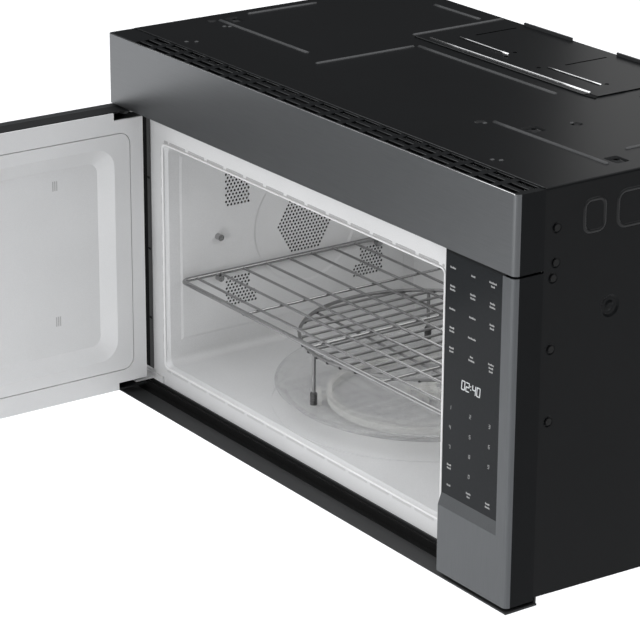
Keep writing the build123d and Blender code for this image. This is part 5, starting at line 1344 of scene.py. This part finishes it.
@dataclass
class OvenFlange:
    """Seam tabs and slots in painted shade, rim in painted highlight, painted shadow beside the
    hinge.

    Lengths are X and heights, in millimetres.
    """

    top_row: float = 319.0
    bottom_row: float = 31.2
    row_start: float = -313.0
    row_end: float = 216.0
    first_tab: Point = (-324.5, -316.0)
    first_corner: float = 1.2
    dash: float = 34.6
    dash_corner: float = 1.4
    gap: float = 5.8
    dash_height: float = 3.2
    left_row: float = -331.0
    left_half: float = 0.8
    left_corner: float = 0.7
    left_span: Point = (46.0, 306.0)
    left_dash: float = 11.0
    left_pitch: float = 19.5
    slot_heights: tuple[float, float, float] = (266.1, 176.9, 88.9)
    slot_span: Point = (-363.0, -357.0)
    slot_half: float = 1.6
    opening: tuple[float, float, float, float] = (-328.5, 217.5, 34.2, 316.2)
    opening_corner: float = 6.0
    rim_radius: float = 1.6
    strip_ends: tuple[float, float, float] = (-378.5, -363.0, -355.0)
    strip_span: Point = (24.0, 345.0)
    sunk: float = -0.05
    proud: float = 0.25
    slot_proud: float = 0.3

    def build(self) -> None:
        """Lays tabs, slots, rim and the painted shadow strips beside the hinge on the plate's face.
        """
        lay = lay_upright(box_of("cavity_front")[0].y)
        # Top and left rows take the darker painted shade, the lower row the lighter one.
        tabs, soft_tabs = Solids(), Solids()
        self._row(tabs, lay, self.top_row)
        self._row(soft_tabs, lay, self.bottom_row)
        z, end = self.left_span
        while z < end:
            loop = rounded_loop(self.left_row - self.left_half, self.left_row + self.left_half,
                                z, z + self.left_dash, self.left_corner)
            tabs.plate(loop, lay, self.sunk, self.proud, 0.1)
            z += self.left_pitch
        soft_tabs.settle("flange_lower_tabs", ENAMEL_LIGHT_SHADE, "cabinet")
        tabs.settle("flange_tabs", ENAMEL_SHADE, "cabinet")
        # Slots drawn as flat plates in painted shadow.
        slots = Solids()
        for z in self.slot_heights:
            loop = rounded_loop(*self.slot_span, z - self.slot_half, z + self.slot_half, 1.2)
            slots.plate(loop, lay, self.sunk, self.slot_proud, 0.1)
        slots.settle("flange_slots", DEEP_SHADOW, "cabinet")
        rim = Solids()
        points = [lay(u, v, 0.0) for u, v in rounded_loop(*self.opening, self.opening_corner, 6)]
        rim.rod(points + points[:2], self.rim_radius, 10, ends=False)
        rim.settle("opening_rim", ENAMEL_RIM_HIGHLIGHT, "cabinet", smooth=True)
        # Painted shadow beside the hinge: a dark strip, then a half-dark one, where the door shades
        # the plate.
        for name, finish, span in (("hinge_side_shadow", DEEP_SHADOW, self.strip_ends[:2]),
                                   ("hinge_side_half_shadow", HALF_SHADE, self.strip_ends[1:])):
            strip = Solids()
            strip.plate(box_loop(*span, *self.strip_span), lay, self.sunk, self.slot_proud, 0.2)
            strip.settle(name, finish, "cabinet")

    def _row(self, layer: Solids, lay: Lay, row: float) -> None:
        """Lays one row of tabs.

        Args:
            layer: where the tabs are collected.
            lay: lays a drawing on the plate's face.
            row: height of the row.
        """
        half = self.dash_height / 2
        layer.plate(rounded_loop(*self.first_tab, row - half, row + half, self.first_corner), lay,
                    self.sunk, self.proud, 0.15)
        x = self.row_start
        while x < self.row_end:
            end = min(x + self.dash, self.row_end)
            layer.plate(rounded_loop(x, end, row - half, row + half, self.dash_corner), lay,
                        self.sunk, self.proud, 0.15)
            x = end + self.gap


@dataclass
class SillStep:
    """Painted shadow over the rear part and riser of the front sill, below the door.

    Lengths are in millimetres.
    """

    corner: Corner
    ledge_z: float = 2.2
    riser_setback: float = 31.5
    shadow_setback: float = 23.5
    riser_top: float = 10.5
    cover: float = 0.4
    buried: float = 0.1
    riser_depth: float = 2.0
    end_gap: float = 1.0

    def build(self) -> None:
        """Lays the painted shadow strip along the back of the ledge and up the riser."""
        y0, y1 = self.corner.front + self.shadow_setback, self.corner.front + self.riser_setback
        base, top = self.ledge_z - self.buried, self.riser_top + self.cover
        section = [(y0, base), (y1 + self.riser_depth, base), (y1 + self.riser_depth, top),
                   (y1 - self.cover, top), (y1 - self.cover, self.ledge_z + self.cover),
                   (y0, self.ledge_z + self.cover)]
        step = Solids()
        step.plate(section, lambda y, z, x: lay_level(x, y, z), self.corner.left + self.end_gap,
                   box_of("control_fascia")[0].x - self.end_gap)
        step.settle("sill_step_shadow", DEEP_SHADOW, "cabinet")


@dataclass
class TrimEdges:
    """Painted highlights: a bright line along the trim's front edge and light lines on its slot
    edges.

    Lengths are insets from the left side and setbacks from the front face, in millimetres.
    """

    corner: Corner
    edge_radius: float = 0.55
    edge_inset: float = 0.7
    edge_drop: float = 0.3
    edge_end: float = 4.0
    slot_length: float = 28.0
    slot_width: float = 6.4
    slot_first_inset: float = 70.0
    slot_last_inset: float = 22.5
    slot_first_setback: float = 6.9
    slot_pitch: float = 12.0
    slot_rows: int = 3
    slot_columns: int = 19
    line_radius: float = 0.45
    line_drop: float = 0.2

    def build(self) -> None:
        """Lays the painted highlight along the trim and a thin painted highlight behind each slot.
        """
        low, high = box_of("trim_face")
        ends = [lay_level(x, low.y + self.edge_inset, high.z - self.edge_drop)
                for x in (low.x + self.edge_end, high.x - self.edge_end)]
        edge = Solids()
        edge.rod(between(*ends, 8), self.edge_radius, 8)
        edge.settle("trim_edge_highlight", EDGE_HIGHLIGHT, "cabinet", smooth=True)
        lines = Solids()
        first = self.corner.left + self.slot_first_inset
        pitch = (self.corner.right - self.slot_last_inset - first) / (self.slot_columns - 1)
        back = self.corner.front + self.slot_first_setback + self.slot_width / 2
        z, reach = high.z - self.line_drop, self.slot_length / 2 - 1
        for column in range(self.slot_columns):
            for row in range(self.slot_rows):
                x, y = first + column * pitch, back + row * self.slot_pitch
                lines.rod([lay_level(x + shift, y, z)
                           for shift in (-reach, 0, reach)], self.line_radius, 6)
        lines.settle("slot_edge_highlights", PAINTED_HIGHLIGHT_BLACK, "cabinet", smooth=True)


@dataclass
class RoundRackEnds:
    """Dark bar ends and ribbed feet of the round rack on the turntable.

    Lengths are in millimetres. A rib is drawn by the radius and height of its corners.
    """

    radius: float = 149.0
    bar_pitch: float = 20.6
    bar_count: int = 14
    bar_radius: float = 2.0
    bar_span: Point = (-3.0, 1.6)
    bar_drop: float = 3.4
    foot_height: float = 15.0
    foot_lift: float = 0.1
    foot_radius: float = 2.4
    foot_ribs: int = 5
    rib: tuple[Point, ...] = ((4.3, 0.3), (4.3, 1.7), (3.7, 2.1), (3.7, 2.8))
    leg_angles: tuple[float, float, float] = (-97.5, 22.5, 142.5)

    def build(self) -> None:
        """Caps the ends of the bars and slips a ribbed sleeve over each foot."""
        low, high = box_of("round_rack")
        x, y, z = (low.x + high.x) / 2, (low.y + high.y) / 2, high.z - self.bar_drop
        caps = Solids()
        for k in range(self.bar_count):
            shift = (k - (self.bar_count - 1) / 2) * self.bar_pitch
            half = math.sqrt(self.radius ** 2 - shift ** 2)
            for side in (-1, 1):
                caps.rod([lay_level(x + shift, y + side * (half + reach), z)
                          for reach in self.bar_span], self.bar_radius, 8)
        caps.settle("rack_bar_ends", SCREW_BLACK, "turntable", smooth=True)
        profile = [(self.foot_radius, 0.0)]
        for k in range(self.foot_ribs):
            start = self.foot_height * k / self.foot_ribs
            profile += [(radius, start + height) for radius, height in self.rib]
        profile.append((self.foot_radius, self.foot_height + 0.4))
        feet = Solids()
        for angle in self.leg_angles:
            u, v = circle_loop(x, y, self.radius, 1, math.radians(angle))[0]
            feet.lathe(lay_level(u, v, low.z + self.foot_lift), profile, 20)
        feet.settle("rack_feet", RACK_FOOT, "turntable")


@dataclass
class ControlPanel:
    """Strokes for key legends, keypad digits and the lit clock on the touch glass.

    Lengths are X and heights, in millimetres. A legend is its column, its row and the lengths of
    its lines, and a digit is its column, its row and its sign.
    """

    columns: tuple[float, float, float] = (277.0, 309.7, 341.0)
    rows: tuple[float, ...] = (341.5, 319.9, 297.5, 275.6, 253.9, 191.8, 169.8, 148.2, 126.2, 105.3)
    legends: tuple[tuple[int, int, tuple[float, ...]], ...] = (
        (0, 0, (9.0,)), (0, 1, (8.0, 8.6)), (0, 2, (9.6,)), (0, 3, (7.4, 8.0)), (0, 4, (7.4, 6.6)),
        (1, 0, (6.4,)), (1, 1, (8.6, 8.0)), (1, 2, (10.4,)), (1, 3, (12.6,)), (1, 4, (5.0, 9.6)),
        (2, 0, (11.6, 6.0)), (2, 1, (8.0, 9.0)), (2, 2, (7.6, 6.6)), (2, 4, (9.0, 7.0, 6.0)),
        (0, 8, (7.0, 6.4)), (0, 9, (6.0,)), (1, 9, (7.6, 4.8)), (2, 9, (7.0, 7.6)),
    )
    line_pitch: float = 3.8
    stroke_pitch: float = 1.5
    stroke_gap: float = 0.32
    stroke_corner: float = 0.3
    stroke_heights: Point = (1.6, 2.1)
    stroke_drop: float = 0.8
    digits: tuple[tuple[int, int, str], ...] = (
        (0, 5, "1"), (1, 5, "2"), (2, 5, "3"), (0, 6, "4"), (1, 6, "5"), (2, 6, "6"),
        (0, 7, "7"), (1, 7, "8"), (2, 7, "9"), (1, 8, "0"),
    )
    digit_height: float = 3.8
    digit_stroke: float = 0.55
    digit_shift: Point = (-1.1, -1.9)
    digit_width: float = 0.52
    lean: float = 0.1
    clock: str = "02:40"
    clock_left: float = 294.5
    clock_base: float = 217.5
    clock_height: float = 9.4
    clock_stroke: float = 1.15
    clock_pitch: float = 7.1
    colon_pitch: float = 3.4
    colon_span: Point = (0.3, 1.6)
    colon_levels: Point = (0.3, 0.68)
    sunk: float = -0.02
    print_proud: float = 0.06
    digit_proud: float = 0.08

    SEGMENTS = {"0": "abcdef", "1": "bc", "2": "abged", "3": "abgcd", "4": "fgbc", "5": "afgcd",
                "6": "afgedc", "7": "abc", "8": "abcdefg", "9": "abcdfg"}
    BARS = {"a": (0, 2, 1, 2), "b": (1, 1, 1, 2), "c": (1, 0, 1, 1), "d": (0, 0, 1, 0),
            "e": (0, 0, 0, 1), "f": (0, 1, 0, 2), "g": (0, 1, 1, 1)}

    def build(self) -> None:
        """Prints the legends and digits and lights the clock."""
        lay = lay_upright(box_of("touch_glass")[0].y)
        prints = Solids()
        for column, row, lengths in self.legends:
            for line, length in enumerate(lengths):
                z = self.rows[row] + self.line_pitch * ((len(lengths) - 1) / 2 - line)
                self._word(prints, lay, (self.columns[column], z), length)
        right, up = self.digit_shift
        for column, row, sign in self.digits:
            place = (self.columns[column] + right, self.rows[row] + up)
            self._digit(prints, lay, sign, place, self.digit_height, self.digit_stroke)
        prints.settle("key_legends", KEY_PRINT, "cabinet")
        lit = Solids()
        x = self.clock_left
        for sign in self.clock:
            if sign == ":":
                for level in self.colon_levels:
                    z = self.clock_base + level * self.clock_height
                    sides = [x + reach for reach in self.colon_span]
                    dot = rounded_loop(*sides, z, z + sides[1] - sides[0], 0.3)
                    lit.plate(dot, lay, self.sunk, self.digit_proud)
                x += self.colon_pitch
                continue
            self._digit(lit, lay, sign, (x, self.clock_base), self.clock_height, self.clock_stroke)
            x += self.clock_pitch
        lit.settle("clock_digits", LIT_DIGITS, "cabinet")

    def _word(self, layer: Solids, lay: Lay, middle: Point, length: float) -> None:
        """Prints one plain dash, cut into short strokes, where a word would stand.

        Args:
            layer: where the strokes are collected.
            lay: lays a drawing on the glass.
            middle: middle of the dash.
            length: its length.
        """
        strokes = max(int(length / self.stroke_pitch), 2)
        base = middle[1] - self.stroke_drop
        for k in range(strokes):
            left = middle[0] - length / 2 + length * k / strokes
            height = self.stroke_heights[0 if k % 3 else 1]
            right = left + length / strokes - self.stroke_gap
            layer.plate(rounded_loop(left, right, base, base + height, self.stroke_corner, 2), lay,
                        self.sunk, self.print_proud)

    def _digit(self, layer: Solids, lay: Lay, sign: str, place: Point, height: float,
               stroke: float) -> None:
        """Draws one digit from up to seven straight bars, leaning a little to the right.

        Args:
            layer: where the bars are collected.
            lay: lays a drawing on the glass.
            sign: the digit.
            place: its lower left corner.
            height: its height.
            stroke: width of its bars.
        """
        for bar in self.SEGMENTS[sign]:
            u0, v0, u1, v1 = self.BARS[bar]
            ends = [(place[0] + u * height * self.digit_width + v * height / 2 * self.lean,
                     place[1] + v * height / 2) for u, v in ((u0, v0), (u1, v1))]
            layer.plate(slot_loop(*ends, stroke, 2), lay, self.sunk, self.digit_proud)


@dataclass
class DoorDetails:
    """Small marks moulded into the recess of the door's inner side, in painted shade.

    Lengths are distances from the hinge and heights, in millimetres.
    """

    corner: Corner
    places: tuple[Point, ...] = ((91.5, 113.2), (91.5, 280.2))
    recess: float = 10.0
    stroke: float = 1.2
    pitch: float = 2.6
    height: float = 11.0
    sunk: float = -0.05
    proud: float = 0.35

    def build(self) -> None:
        """Raises three short upright strokes at each place of the recess."""
        face = box_of("door_inner_panel")[1].x - self.recess
        half = self.height / 2
        strokes = Solids()
        for along, z in self.places:
            for reach in (along - self.pitch, along, along + self.pitch):
                strokes.plate(slot_loop((reach, z - half), (reach, z + half), self.stroke, 3),
                              lambda u, v, rise: lay_level(face + rise, self.corner.front - u, v),
                              self.sunk, self.proud, 0.2)
        strokes.settle("door_marks", ENAMEL_SHADE, "door")


@dataclass
class Underside:
    """Woven pads of the two grease filters, in millimetres."""

    border: float = 8.0
    pad_corner: float = 2.0
    setdown: float = 1.7
    pad_depth: float = 0.4

    def build(self) -> None:
        """Lays a woven pad in each filter's frame, seen from below."""
        for side in ("left", "right"):
            low, high = box_of(f"grease_filter_{side}")
            pad = Solids()
            base = low.z + self.setdown
            pad.plate(rounded_loop(low.x + self.border, high.x - self.border, low.y + self.border,
                                   high.y - self.border, self.pad_corner), lay_level, base,
                      base + self.pad_depth)
            pad.settle(f"filter_pad_{side}", FILTER_MESH, f"filter_{side}")


def dress_nodes(nodes: dict[str, bpy.types.Object]) -> None:
    """Gives every CAD node its finish.

    Args:
        nodes: the CAD nodes by name.
    """
    for finish, names in NODE_FINISHES.items():
        for name in names:
            node = nodes[name]
            node.data.materials.clear()
            node.data.materials.append(finish.material())
            LOG.info("%s is finished in %s", name, finish.name)
    bare = sorted(set(nodes) - {name for names in NODE_FINISHES.values() for name in names})
    if bare:
        raise ValueError(f"nodes without a finish: {bare}")


def main() -> None:
    """Loads the frame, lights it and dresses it."""
    logging.basicConfig(level=logging.INFO, format="%(name)s: %(message)s")
    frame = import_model()
    PictureView().build()
    SoftStudio().build()
    dress_nodes(frame["nodes"])
    corner = Corner.of_cabinet()
    for assembly in (CabinetShell(corner), ExhaustCover(corner), PerforatedWall(corner),
                     OvenFlange(), SillStep(corner), TrimEdges(corner), RoundRackEnds(),
                     ControlPanel(), DoorDetails(corner), Underside()):
        assembly.build()


if __name__ == "__main__":
    main()
